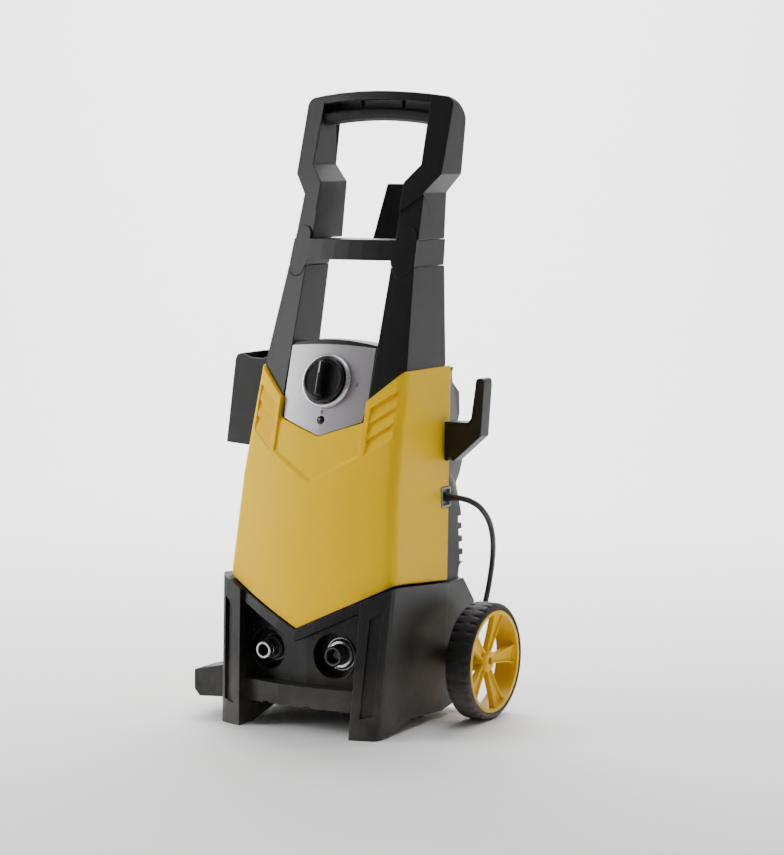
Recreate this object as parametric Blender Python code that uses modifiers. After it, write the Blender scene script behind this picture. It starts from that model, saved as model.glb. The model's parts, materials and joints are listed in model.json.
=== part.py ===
"""Upright electric pressure washer on two wheels, built as an assembly of separate pieces.

Metres, +Z up. X runs across the machine (+X is its left-hand side seen from behind, the cable side),
the front faces -Y, and the origin is on the ground in the middle of the footprint.
"""
import math

import bmesh
import bpy
from mathutils import Matrix, Vector

# ---- driving dimensions -------------------------------------------------------------------------
GAP = 0.0003            # clearance kept between touching mouldings
WALL = 0.0026           # wall of the painted cover
SHELL = 0.003           # wall of the black mouldings

CROWN = 1.34            # every front surface falls back by CROWN * x * x from its centre line
KNEE_Z = 0.335          # height where the front cover leans back further
KNEE_Y = -0.104
LOWER_LEAN = 0.1733
UPPER_LEAN = 0.2823
CORNER_R = 0.012        # rounding between the front and the sides

COVER_TOP = 0.482
COVER_SIDE_LOW = 0.2028
COVER_TIP_Z = 0.1403    # tip of the V at the foot of the cover
PANEL_TIP_Z = 0.3928    # tip of the V under the control panel

WHEEL_R = 0.0802
WHEEL_W = 0.037
WHEEL_X = 0.1771        # middle of each wheel
RIM_R = 0.0708
AXLE_Y = 0.0628
AXLE_R = 0.005
HUB_BORE_R = 0.0054

KNOB_Z = 0.4661
KNOB_Y = -0.0588
PANEL_LEAN = 0.297

MOTOR_Y = 0.004         # the motor and pump stand on one upright axis behind the front cover
MOTOR_R = 0.054
MOTOR_LOW = 0.262
MOTOR_HIGH = 0.392
SHAFT_R = 0.006
PISTON_RING_R = 0.019   # pistons stand on this radius around the shaft axis
PISTON_R = 0.006
PISTON_TOP = 0.2238

CUP_Z = 0.1015
OUTLET_X = -0.0646
OUTLET_CUP_R = 0.0277
INLET_X = 0.041
INLET_CUP_R = 0.0308

CORD_R = 0.004
GLAND_Y = 0.0494
GLAND_Z = 0.3039
COIL_X = -0.055
COIL_Y = 0.235
COIL_IN_R = 0.032
COIL_OUT_R = 0.064
COIL_H = 0.0335
COIL_LOW = 0.0016

# ---- scene --------------------------------------------------------------------------------------
for old in list(bpy.data.objects):
    bpy.data.objects.remove(old, do_unlink=True)

PARTS = bpy.data.collections.new("pressure_washer")
TOOLS = bpy.data.collections.new("cutters")
bpy.context.scene.collection.children.link(PARTS)
bpy.context.scene.collection.children.link(TOOLS)


def finish(name, colour, roughness, metallic=0.0):
    material = bpy.data.materials.new(name)
    material.use_nodes = True
    shader = material.node_tree.nodes["Principled BSDF"]
    shader.inputs["Base Color"].default_value = (*colour, 1.0)
    shader.inputs["Roughness"].default_value = roughness
    shader.inputs["Metallic"].default_value = metallic
    return material


COVER_YELLOW = finish("cover_yellow", (0.80, 0.50, 0.03), 0.38)
RIM_YELLOW = finish("rim_yellow", (0.82, 0.56, 0.04), 0.42)
BODY_BLACK = finish("body_black", (0.022, 0.022, 0.022), 0.55)
GRIP_BLACK = finish("grip_black", (0.018, 0.018, 0.018), 0.6)
PANEL_SILVER = finish("panel_silver", (0.46, 0.45, 0.47), 0.35, 0.6)
BEZEL_CHROME = finish("bezel_chrome", (0.72, 0.72, 0.73), 0.16, 1.0)
KNOB_BLACK = finish("knob_black", (0.012, 0.012, 0.012), 0.22)
LAMP_DARK = finish("lamp_dark", (0.02, 0.01, 0.012), 0.15)
TYRE_RUBBER = finish("tyre_rubber", (0.02, 0.02, 0.02), 0.8)
FITTING_METAL = finish("fitting_metal", (0.55, 0.55, 0.56), 0.3, 1.0)
FITTING_PLASTIC = finish("fitting_plastic", (0.03, 0.03, 0.03), 0.45)
GLAND_GREY = finish("gland_grey", (0.30, 0.30, 0.28), 0.5)
CORD_RUBBER = finish("cord_rubber", (0.015, 0.015, 0.015), 0.55)
STEEL = finish("steel", (0.50, 0.50, 0.51), 0.35, 1.0)
LAMINATE = finish("laminate", (0.25, 0.25, 0.27), 0.5, 0.8)
ALUMINIUM = finish("aluminium", (0.62, 0.62, 0.63), 0.4, 1.0)
BRASS = finish("brass", (0.62, 0.47, 0.20), 0.35, 1.0)
FAN_PLASTIC = finish("fan_plastic", (0.10, 0.10, 0.11), 0.5)
SWITCH_GREY = finish("switch_grey", (0.16, 0.16, 0.17), 0.5)
FILTER_MESH = finish("filter_mesh", (0.12, 0.12, 0.12), 0.5)


# ---- modelling helpers --------------------------------------------------------------------------
def place(name, mesh_data, material=None):
    """Makes the named object, in the parts if it has a material and among the cutters if not."""
    piece = bpy.data.objects.new(name, mesh_data)
    if material is not None:
        piece.data.materials.append(material)
        PARTS.objects.link(piece)
    else:
        TOOLS.objects.link(piece)
        piece.hide_render = True
        piece.display_type = "WIRE"
    return piece


def from_bmesh(name, mesh, material=None, curved=False):
    if curved:
        bmesh.ops.triangulate(mesh, faces=mesh.faces[:])
    bmesh.ops.recalc_face_normals(mesh, faces=mesh.faces[:])
    data = bpy.data.meshes.new(name)
    mesh.to_mesh(data)
    mesh.free()
    return place(name, data, material)


def boolean(target, tool, operation):
    modifier = target.modifiers.new(tool.name, "BOOLEAN")
    modifier.operation = operation
    modifier.solver = "EXACT"
    modifier.object = tool


def cut(target, *tools):
    for tool in tools:
        boolean(target, tool, "DIFFERENCE")
    return target


def join(target, *tools):
    for tool in tools:
        boolean(target, tool, "UNION")
    return target


def bisect(mesh, point, normal):
    geometry = mesh.verts[:] + mesh.edges[:] + mesh.faces[:]
    bmesh.ops.bisect_plane(mesh, geom=geometry, dist=1e-6, plane_co=point, plane_no=normal)


def both(half):
    """Mirrors a half outline of (x, z) points, given from the lower middle to the upper middle."""
    other = [(-x, z) for x, z in reversed(half) if abs(x) > 1e-6]
    return half + other


def moulding(name, outline, front, back, x_cuts=(), z_cuts=(), planes=(), spread=None, material=None):
    """A front-view outline of (x, z) points grown rearwards between two surfaces y = f(x, z)."""
    mesh = bmesh.new()
    mesh.faces.new([mesh.verts.new((x, 0.0, z)) for x, z in outline])
    for x in x_cuts:
        bisect(mesh, (x, 0.0, 0.0), (1.0, 0.0, 0.0))
    for z in z_cuts:
        bisect(mesh, (0.0, 0.0, z), (0.0, 0.0, 1.0))
    for point, normal in planes:
        bisect(mesh, point, normal)
    grown = bmesh.ops.extrude_face_region(mesh, geom=mesh.faces[:])
    rear = {item for item in grown["geom"] if isinstance(item, bmesh.types.BMVert)}
    for corner in mesh.verts:
        x, z = corner.co.x, corner.co.z
        if spread is not None:
            x *= spread(z)
        surface = back if corner in rear else front
        corner.co = (x, surface(x, z), z)
    return from_bmesh(name, mesh, material, curved=True)


def side_moulding(name, outline, half, y_cuts=(), z_cuts=(), material=None):
    """A side-view outline of (y, z) points grown across the machine to x = -half and +half."""
    mesh = bmesh.new()
    mesh.faces.new([mesh.verts.new((0.0, y, z)) for y, z in outline])
    for y in y_cuts:
        bisect(mesh, (0.0, y, 0.0), (0.0, 1.0, 0.0))
    for z in z_cuts:
        bisect(mesh, (0.0, 0.0, z), (0.0, 0.0, 1.0))
    grown = bmesh.ops.extrude_face_region(mesh, geom=mesh.faces[:])
    right = {item for item in grown["geom"] if isinstance(item, bmesh.types.BMVert)}
    for corner in mesh.verts:
        reach = half(corner.co.y, corner.co.z)
        corner.co.x = reach if corner in right else -reach
    return from_bmesh(name, mesh, material, curved=True)


def flat(value):
    return lambda x, z: value


def shifted(surface, distance):
    return lambda x, z: surface(x, z) + distance


def box(name, low, high, material=None):
    mesh = bmesh.new()
    bmesh.ops.create_cube(mesh, size=1.0)
    size = Vector(high) - Vector(low)
    middle = (Vector(high) + Vector(low)) / 2
    bmesh.ops.scale(mesh, vec=size, verts=mesh.verts[:])
    bmesh.ops.translate(mesh, vec=middle, verts=mesh.verts[:])
    return from_bmesh(name, mesh, material)


def stand(origin, direction):
    """The matrix that stands local +Z along a direction at a point."""
    turn = Vector((0.0, 0.0, 1.0)).rotation_difference(Vector(direction).normalized())
    return Matrix.Translation(origin) @ turn.to_matrix().to_4x4()


def cylinder(name, radius, low, high, origin, direction, sides=24, material=None, tip=None):
    """A round bar or cone along a direction, from low to high as measured from the origin."""
    mesh = bmesh.new()
    top = radius if tip is None else tip
    bmesh.ops.create_cone(mesh, cap_ends=True, segments=sides, radius1=radius, radius2=top, depth=high - low)
    bmesh.ops.translate(mesh, vec=(0.0, 0.0, (high + low) / 2), verts=mesh.verts[:])
    piece = from_bmesh(name, mesh, material)
    piece.matrix_world = stand(origin, direction)
    return piece


def turned(name, profile, origin, direction, steps=32, closed=True, material=None):
    """A profile of (radius, height) points, run down its outer side, turned about a direction."""
    data = bpy.data.meshes.new(name)
    points = [(r, 0.0, h) for r, h in profile]
    edges = [(i, i + 1) for i in range(len(points) - 1)]
    if closed:
        edges.append((len(points) - 1, 0))
    data.from_pydata(points, edges, [])
    piece = place(name, data, material)
    screw = piece.modifiers.new("turn", "SCREW")
    screw.axis = "Z"
    screw.angle = math.tau
    screw.steps = steps
    screw.render_steps = steps
    screw.use_merge_vertices = True
    screw.merge_threshold = 0.0001
    screw.use_smooth_shade = True
    piece.matrix_world = stand(origin, direction)
    return piece


def tube(name, points, radius, resolution, material, closed=False):
    """A round bar along points, as a poly curve with filled caps."""
    data = bpy.data.curves.new(name, "CURVE")
    data.dimensions = "3D"
    data.bevel_depth = radius
    data.bevel_resolution = resolution
    data.use_fill_caps = True
    spline = data.splines.new("POLY")
    spline.points.add(len(points) - 1)
    for knot, point in zip(spline.points, points):
        knot.co = (*point, 1.0)
    spline.use_cyclic_u = closed
    return place(name, data, material)


def smooth_path(route, spacing):
    """Evenly spaced points on the smooth curve through hand-chosen route points."""
    ends = [2 * route[0] - route[1]] + route + [2 * route[-1] - route[-2]]
    fine = []
    for i in range(1, len(ends) - 2):
        a, b, c, d = ends[i - 1:i + 3]
        for k in range(24):
            t = k / 24
            fine.append(0.5 * (2 * b + (c - a) * t + (2 * a - 5 * b + 4 * c - d) * t ** 2
                               + (3 * b - a - 3 * c + d) * t ** 3))
    fine.append(route[-1])
    total = sum((q - p).length for p, q in zip(fine, fine[1:]))
    count = round(total / spacing)
    step = total / count
    path = [fine[0]]
    travelled = 0.0
    for p, q in zip(fine, fine[1:]):
        length = (q - p).length
        while travelled + length >= step * len(path) - 1e-9 and len(path) < count:
            path.append(p.lerp(q, (step * len(path) - travelled) / length))
        travelled += length
    path.append(fine[-1])
    return path


def arc(centre_x, centre_z, radius, start, end, steps):
    """Points of an arc in front view, angles in degrees from +X."""
    turn = [math.radians(start + (end - start) * i / steps) for i in range(steps + 1)]
    return [(centre_x + radius * math.cos(a), centre_z + radius * math.sin(a)) for a in turn]


# ---- the machine's shared surfaces --------------------------------------------------------------
def cover_half(z):
    return 0.1221 + 0.0475 * (0.35 - z)


def base_half(z):
    return 0.1255 + 0.048 * z


def rounded_corner(x, half, radius):
    past = min(abs(x) - (half - radius), radius)
    return radius - math.sqrt(radius ** 2 - past ** 2) if past > 0 else 0.0


def skin(x, z):
    """The outer front surface of the yellow cover."""
    lean = UPPER_LEAN if z > KNEE_Z else LOWER_LEAN
    return KNEE_Y + lean * (z - KNEE_Z) + CROWN * x * x + rounded_corner(x, cover_half(z), CORNER_R)


def cover_rear(x, z):
    return 0.0431 + 0.118 * (z - 0.1876)


def leg_front(x, z):
    return -0.1568 + 0.0865 * z + CROWN * x * x + rounded_corner(x, base_half(z), 0.010)


def bay_floor(x, z):
    """The recessed wall that carries the two water connections."""
    return -0.1109 + CROWN * x * x


def bar_front(x, z):
    return -0.1369 + CROWN * x * x


def leg_inner(z):
    return 0.0868 + 0.050 * z


def arm_front(x, z):
    return -0.0208 + 0.332 * (z - 0.5838) + CROWN * x * x


def panel_face(x, z):
    return KNOB_Y + PANEL_LEAN * (z - KNOB_Z) + CROWN * x * x


def arch_line(x):
    return 0.8569 - 0.72 * x * x


def arch_top(x):
    return arch_line(x) - rounded_corner(x, 0.1165, 0.010)


ROLL_HIGH = 0.030       # height over which the rear of the handle rolls over to the top of the arch
ROLL_DEEP = 0.0308
ROLL_TOP_Y = 0.0880


def handle_back(x, z):
    """Rear of the handle: it leans back gently and rolls over to the top of the arch."""
    below = arch_line(x) - z
    if below > ROLL_HIGH:
        return ROLL_TOP_Y + ROLL_DEEP - 0.165 * (below - ROLL_HIGH)
    return ROLL_TOP_Y + ROLL_DEEP * math.sin(math.pi / 2 * below / ROLL_HIGH)


FRACTIONS = [-0.985, -0.955, -0.90, -0.75, -0.6, -0.45, -0.3, -0.15, 0.0,
             0.15, 0.3, 0.45, 0.6, 0.75, 0.90, 0.955, 0.985]


# ---- front cover --------------------------------------------------------------------------------
def panel_edge(x):
    return PANEL_TIP_Z + 0.3256 * abs(x)


CHEVRON_LOW = 0.331     # tip of the stepped V, its plate depth and the lengths of its two ramps
CHEVRON_DEPTH = 0.0034
CHEVRON_TOP_DEPTH = 0.0063
PANEL_RAMP = 0.0132
FOOT_RAMP = 0.0050


def chevron_edge(x):
    return CHEVRON_LOW + 0.5646 * abs(x)


def chevron_depth(x, z):
    """Depth of the stepped V below the control panel: a ramp, a plate and a lower ramp."""
    from_panel = (panel_edge(x) - z) / PANEL_RAMP
    from_foot = (z - chevron_edge(x)) / FOOT_RAMP
    if from_panel < 1.0:
        return CHEVRON_TOP_DEPTH - (CHEVRON_TOP_DEPTH - CHEVRON_DEPTH) * max(from_panel, 0.0)
    return CHEVRON_DEPTH * min(max(from_foot, 0.0), 1.0)


def cover_outline(inset):
    """Front view of the cover as fractions of its half width, drawn in by a wall thickness."""
    edge = 1.0 - inset / 0.12
    corner = 0.0679 + inset
    half = [
        (0.0, COVER_TIP_Z + 1.10 * inset),
        (edge, COVER_SIDE_LOW + 1.05 * inset),
        (edge, COVER_TOP - inset),
        (min(0.1125 / cover_half(COVER_TOP), edge), COVER_TOP - inset),
        (corner / cover_half(0.4423), 0.4423 - 0.6 * inset),
        (corner / cover_half(0.4149), panel_edge(0.0679) - inset),
        (0.0, PANEL_TIP_Z - 1.05 * inset),
    ]
    return both(half)


LOUVRE_TOP = 0.4335
LOUVRE_PITCH = 0.0208
LOUVRE_SLOPE = 0.70
LOUVRE_IN = 0.0745
LOUVRE_OUT = 0.1085
LOUVRE_SHALLOW = 0.0010
LOUVRE_DEEP = 0.0048


def louvre_cutters(side):
    """Three slanted bands sunk into a wing, each deepest along its upper edge."""
    bands = []
    rise = LOUVRE_SLOPE * (LOUVRE_OUT - LOUVRE_IN)
    for index in range(3):
        high = LOUVRE_TOP - LOUVRE_PITCH * index
        low = high - LOUVRE_PITCH - (0.0 if index == 2 else 0.0002)

        def floor(x, z, low=low, high=high):
            share = (z - low - LOUVRE_SLOPE * (abs(x) - LOUVRE_IN)) / (high - low)
            return skin(x, z) + LOUVRE_SHALLOW + (LOUVRE_DEEP - LOUVRE_SHALLOW) * share

        band = [(LOUVRE_IN, low), (LOUVRE_OUT, low + rise), (LOUVRE_OUT, high + rise), (LOUVRE_IN, high)]
        name = f"louvre_{'right' if side > 0 else 'left'}_{index}"
        bands.append(moulding(name, [(side * x, z) for x, z in band], shifted(skin, -0.02), floor,
                              x_cuts=(side * 0.09,)))
    return bands


front_cover = moulding("front_cover", cover_outline(0.0), skin, cover_rear, x_cuts=FRACTIONS,
                       z_cuts=(KNEE_Z - 0.008, KNEE_Z, KNEE_Z + 0.008), spread=cover_half,
                       material=COVER_YELLOW)
for corner in front_cover.data.vertices:
    if corner.co.z < 0.2029 and corner.co.y > 0.0 and abs(corner.co.x) > 0.128:
        corner.co.z -= 0.013
cover_inside = moulding("cover_inside", cover_outline(WALL), shifted(skin, WALL), flat(0.2),
                        x_cuts=FRACTIONS, z_cuts=(KNEE_Z,), spread=cover_half)
side_edge = 1.0 - WALL / 0.12 - 0.004
cover_clearance = moulding("cover_clearance", [(-side_edge, 0.08), (side_edge, 0.08), (side_edge, 0.6),
                                               (-side_edge, 0.6)],
                           shifted(skin, 0.012), flat(0.25), x_cuts=FRACTIONS, z_cuts=(KNEE_Z,),
                           spread=cover_half)
cut(front_cover, cover_inside, cover_clearance)

chevron_back = moulding("chevron_back", both([(0.0, 0.322), (0.0705, 0.362), (0.0705, 0.4120),
                                              (0.0, PANEL_TIP_Z - 0.0006)]),
                        shifted(skin, 0.001), shifted(skin, 0.0092), x_cuts=(-0.05, -0.025, 0.0, 0.025, 0.05),
                        z_cuts=(KNEE_Z,))
join(front_cover, chevron_back)
for side in (-1, 1):
    word = "right" if side > 0 else "left"
    wing = [(0.0712, 0.366), (0.1115, 0.3942), (0.1115, 0.4620), (0.0712, 0.4335)]
    join(front_cover, moulding(f"wing_back_{word}", [(side * x, z) for x, z in wing],
                               shifted(skin, 0.001), shifted(skin, 0.0064), x_cuts=(side * 0.09,)))

ramp_low = Vector((-0.5646, 0.0, 1.0))
ramp_high = Vector((-0.3256, 0.0, 1.0))
foot_ramp_top = (0.0, 0.0, CHEVRON_LOW + FOOT_RAMP)
panel_ramp_foot = (0.0, 0.0, PANEL_TIP_Z - PANEL_RAMP)
chevron_planes = [(foot_ramp_top, ramp_low), (foot_ramp_top, Vector((0.5646, 0.0, 1.0))),
                  (panel_ramp_foot, ramp_high), (panel_ramp_foot, Vector((0.3256, 0.0, 1.0)))]
chevron = moulding("chevron", both([(0.0, CHEVRON_LOW), (0.0673, chevron_edge(0.0673)), (0.0673, 0.4300),
                                    (0.0, 0.4080)]),
                   shifted(skin, -0.02), lambda x, z: skin(x, z) + chevron_depth(x, z),
                   x_cuts=(-0.045, -0.0225, 0.0, 0.0225, 0.045), z_cuts=(KNEE_Z,), planes=chevron_planes)
cut(front_cover, chevron)
for side in (-1, 1):
    cut(front_cover, *louvre_cutters(side))
cut(front_cover, box("gland_window", (0.10, 0.0360, 0.2895), (0.15, 0.09, 0.3183)))

# ---- rear casing --------------------------------------------------------------------------------
NOTCH_TOP = 0.2727
NOTCH_PITCH = 0.018
NOTCH_H = 0.0096


REAR_STEP_Z = 0.1884    # below this height the casing follows the base, above it the cover


def rear_half(y, z):
    if z <= REAR_STEP_Z:
        return base_half(z) - 0.0006
    tuck = 0.0046 if y < 0.05 and z < 0.22 else 0.0031
    inward = 0.010 if y > 0.095 and z > 0.28 else 0.0
    return cover_half(z) - tuck - inward


rear_outline = [
    (0.0389, 0.0090), (0.1050, 0.0200), (0.1180, 0.0450), (0.1180, 0.1514), (0.0811, 0.1907),
    (0.0861, 0.2052), (0.0970, 0.2090), (0.0970, 0.2770), (0.1032, 0.3165), (0.1146, 0.3292),
    (0.1245, 0.3461), (0.1163, 0.4029), (0.1212, 0.4109), (0.1232, 0.4415), (0.1054, 0.4567),
    (0.1045, 0.4686), (0.0920, 0.4790), (0.0700, 0.4790), (0.0700, 0.4640), (0.0560, 0.3900),
    (0.0320, 0.1902), (0.0389, 0.1894),
]
rear_casing = side_moulding("rear_casing", rear_outline, rear_half, z_cuts=(0.1880, 0.1888, 0.2150, 0.2250),
                            y_cuts=(0.0485, 0.0520), material=BODY_BLACK)
rear_hollow = side_moulding("rear_hollow", [
    (-0.02, 0.0120), (0.1030, 0.0230), (0.1150, 0.0460), (0.1150, 0.1500), (0.0780, 0.1895),
    (0.0840, 0.2090), (0.0840, 0.2790), (0.1000, 0.3180), (0.1116, 0.3305), (0.1212, 0.3461),
    (0.1130, 0.4029), (0.1180, 0.4112), (0.1200, 0.4400), (0.1022, 0.4555), (0.1013, 0.4665),
    (0.0905, 0.4757), (-0.02, 0.4757)],
    lambda y, z: rear_half(y, z) - SHELL, z_cuts=(0.1880, 0.1888))
cut(rear_casing, rear_hollow)
SLOT_HALF = 0.0015
for index in range(4):
    top = NOTCH_TOP - NOTCH_PITCH * index
    cut(rear_casing, box(f"vent_notch_{index}", (-0.15, 0.0880, top - NOTCH_H), (0.15, 0.13, top)))
    slot_z = top - NOTCH_H / 2
    cut(rear_casing, box(f"vent_slot_{index}", (-0.085, 0.07, slot_z - SLOT_HALF),
                         (0.085, 0.12, slot_z + SLOT_HALF)))
cut(rear_casing, box("rear_gland_window", (0.10, 0.0340, 0.2893), (0.15, 0.0645, 0.3185)))
for side in (-1, 1):
    axle_middle = (0.0, AXLE_Y, WHEEL_R)
    join(rear_casing, cylinder(f"axle_boss_{side}", 0.0130, 0.1150, 0.1565, axle_middle, (side, 0, 0), 20))
    cut(rear_casing, cylinder(f"axle_hole_{side}", AXLE_R + 0.0004, 0.10, 0.17, axle_middle, (side, 0, 0)))

# ---- front base with the legs -------------------------------------------------------------------
TRIM_H = 0.0172


def trim_low(x):
    return COVER_TIP_Z - TRIM_H + 0.484 * abs(x)


base_outline = both([
    (0.0, 0.0330), (0.0880 / base_half(0.033), 0.0330), (0.0868 / base_half(0.0), 0.0), (1.0, 0.0),
    (1.0, COVER_SIDE_LOW - 0.0012), (0.0, COVER_TIP_Z - 0.0012)])
base_front = moulding("base_front", base_outline, leg_front, flat(0.0384), x_cuts=FRACTIONS, spread=base_half,
                      material=BODY_BLACK)
for corner in base_front.data.vertices:
    if corner.co.z > 0.15 and corner.co.y > 0.0:
        corner.co.z -= 0.0135 * max(0.0, (abs(corner.co.x) - 0.11) / 0.025)


def bay_depth(x, z):
    """Front of everything between the legs: the low bar, the connection wall and the V-shaped trim."""
    if z < 0.0620:
        return bar_front(x, z)
    if z < trim_low(x):
        return bay_floor(x, z)
    return skin(x, z) - 0.0035


trim_planes = []
for lift in (-0.0002, 0.0002):
    for way in (-0.484, 0.484):
        trim_planes.append(((0.0, 0.0, trim_low(0.0) + lift), Vector((way, 0.0, 1.0))))
bay_half = [(0.0, 0.0200), (leg_inner(0.02), 0.0200), (leg_inner(0.19), 0.2100), (0.0, 0.1500)]
bay = moulding("bay", both(bay_half), flat(-0.25), bay_depth, x_cuts=(-0.06, -0.03, 0.0, 0.03, 0.06),
               z_cuts=(0.0618, 0.0622), planes=trim_planes)
inner_edge = 1.0 - SHELL / 0.128
base_hollow = moulding("base_hollow", [(-inner_edge, 0.0362), (inner_edge, 0.0362), (inner_edge, 0.30),
                                       (-inner_edge, 0.30)],
                       lambda x, z: max(bay_floor(x, z), leg_front(x, z)) + 0.0045, flat(0.10),
                       x_cuts=FRACTIONS, spread=base_half)
cut(base_front, bay, base_hollow)
for side in (-1, 1):
    word = "right" if side > 0 else "left"
    pocket = [(0.1000, 0.0280), (0.1175, 0.0330), (0.1240, 0.1720), (0.1080, 0.1600)]
    cut(base_front, moulding(f"leg_pocket_{word}", [(side * x, z) for x, z in pocket],
                             flat(-0.25), shifted(leg_front, 0.0050), x_cuts=(side * 0.112,)))
    skid = [(0.0905, 0.0040), (0.1215, 0.0040), (0.1235, 0.0500), (0.0925, 0.0500)]
    cut(base_front, moulding(f"skid_hollow_{word}", [(side * x, z) for x, z in skid],
                             shifted(leg_front, 0.0095), flat(0.0340), x_cuts=(side * 0.107,)))
underside = side_moulding("underside", [
    (-0.1123, -0.03), (-0.1123, 0.0), (-0.0539, 0.0142), (-0.0235, 0.0142), (-0.0217, 0.0108),
    (-0.0135, 0.0108), (-0.0115, 0.0125), (0.0480, 0.0085), (0.0480, -0.03)],
    lambda y, z: 0.16)
cut(base_front, underside)
NOTCH_HALF = 0.005
for notch_x in (-0.052, 0.016):
    cut(base_front, box(f"bar_notch_{notch_x}", (notch_x - NOTCH_HALF, -0.16, 0.02),
                        (notch_x + NOTCH_HALF, -0.125, 0.0352)))

for word, cup_x, cup_r in (("outlet", OUTLET_X, OUTLET_CUP_R), ("inlet", INLET_X, INLET_CUP_R)):
    cup_middle = (cup_x, bay_floor(cup_x, CUP_Z), CUP_Z)
    join(base_front, cylinder(f"{word}_cup_wall", cup_r + 0.0025, 0.0020, 0.0235, cup_middle, (0, 1, 0), 28))
    cut(base_front, cylinder(f"{word}_cup", cup_r, -0.03, 0.0210, cup_middle, (0, 1, 0), 28))
    cut(base_front, cylinder(f"{word}_cup_hole", 0.0105, 0.01, 0.04, cup_middle, (0, 1, 0), 24))

# ---- arms, crossbar and handle ------------------------------------------------------------------
JOINT_LOW = 0.6190
JOINT_HIGH = 0.6547
LOBE_R = 0.0135


def arm_outer(z):
    return 0.0995 + 0.0965 * (0.6190 - z)


def arm_back(x, z):
    """Rear of an arm, turned outwards a little like its front."""
    return 0.0575 + 0.236 * (z - 0.6190) + 0.98 * (abs(x) - 0.0675)


for side in (-1, 1):
    word = "right" if side > 0 else "left"
    shape = [(0.0672, 0.4300), (0.1090, 0.4300), (0.1118, 0.4700), (0.1122, 0.4868),
             (arm_outer(JOINT_LOW), JOINT_LOW - GAP), (0.0676, JOINT_LOW - GAP)]
    arm = moulding(f"arm_{word}", [(side * x, z) for x, z in shape], arm_front, arm_back,
                   x_cuts=(side * 0.083, side * 0.098), z_cuts=(0.4868,), material=BODY_BLACK)
    hollow = [(0.0702, 0.40), (0.1062, 0.40), (0.1088, 0.4700), (0.1090, 0.4868), (0.0966, 0.6100),
              (0.0706, 0.6100)]
    cut(arm, moulding(f"arm_hollow_{word}", [(side * x, z) for x, z in hollow],
                      shifted(arm_front, SHELL), shifted(arm_back, -SHELL), x_cuts=(side * 0.083,),
                      z_cuts=(0.4868,)))
    hidden = [(0.05, 0.40), (0.13, 0.40), (0.13, 0.4984), (0.1125, 0.4828), (0.0679, 0.4431), (0.05, 0.4272)]
    cut(arm, moulding(f"arm_relief_{word}", [(side * x, z) for x, z in hidden],
                      flat(-0.2), lambda x, z: skin(x, z) + 0.0126,
                      x_cuts=(side * 0.09, side * 0.105, side * 0.110)))
    lobe = arc(0.0835, JOINT_LOW - 0.0015, LOBE_R + GAP, 180, 360, 10)
    lobe = lobe + [(0.0835 + LOBE_R + GAP, 0.6300), (0.0835 - LOBE_R - GAP, 0.6300)]
    cut(arm, moulding(f"arm_lobe_{word}", [(side * x, z) for x, z in lobe],
                      flat(-0.1), shifted(arm_front, 0.0030 + GAP), x_cuts=(side * 0.0827,)))

upper_arc = [(x, arch_top(x)) for x in (0.1161, 0.1145, 0.1115, 0.1065, 0.085, 0.0567, 0.0283, 0.0)]
handle_half = [(0.0662, JOINT_HIGH + GAP), (0.0978, JOINT_HIGH + GAP), (0.0953, 0.7179), (0.1158, 0.7434),
               (0.1165, 0.8380)] + upper_arc
slot_half = [(0.0, 0.8452), (0.0283, 0.8447), (0.0567, 0.8431), (0.0845, 0.8402), (0.0862, 0.7563),
             (0.0659, 0.7324)]
handle_outline = handle_half + [(-x, z) for x, z in reversed(handle_half[:-1])]
handle_outline += [(-x, z) for x, z in reversed(slot_half[1:])] + slot_half
handle_cuts = [-0.106, -0.085, -0.0567, -0.0283, 0.0, 0.0283, 0.0567, 0.085, 0.106]
handle_frame = moulding("handle_frame", handle_outline, arm_front, handle_back, x_cuts=handle_cuts,
                        z_cuts=(0.8100, 0.8200, 0.8270, 0.8330, 0.8390, 0.8440, 0.8490), material=BODY_BLACK)
skirt_half = [(0.0, 0.8190), (0.03, 0.8182), (0.06, 0.8158), (0.0870, 0.8122), (0.0870, 0.8425), (0.0, 0.8480)]
join(handle_frame, moulding("handle_skirt", both(skirt_half), shifted(handle_back, -0.0034),
                            shifted(handle_back, -0.0004), x_cuts=(-0.06, -0.03, 0.0, 0.03, 0.06),
                            z_cuts=(0.8270, 0.8330, 0.8390, 0.8440)))
channel_half = [(0.0692, JOINT_HIGH + 0.0040), (0.0948, JOINT_HIGH + 0.0040), (0.0922, 0.7195),
                (0.1128, 0.7448), (0.1134, 0.8270), (0.0880, 0.8290), (0.0892, 0.7552), (0.0690, 0.7315)]
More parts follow.
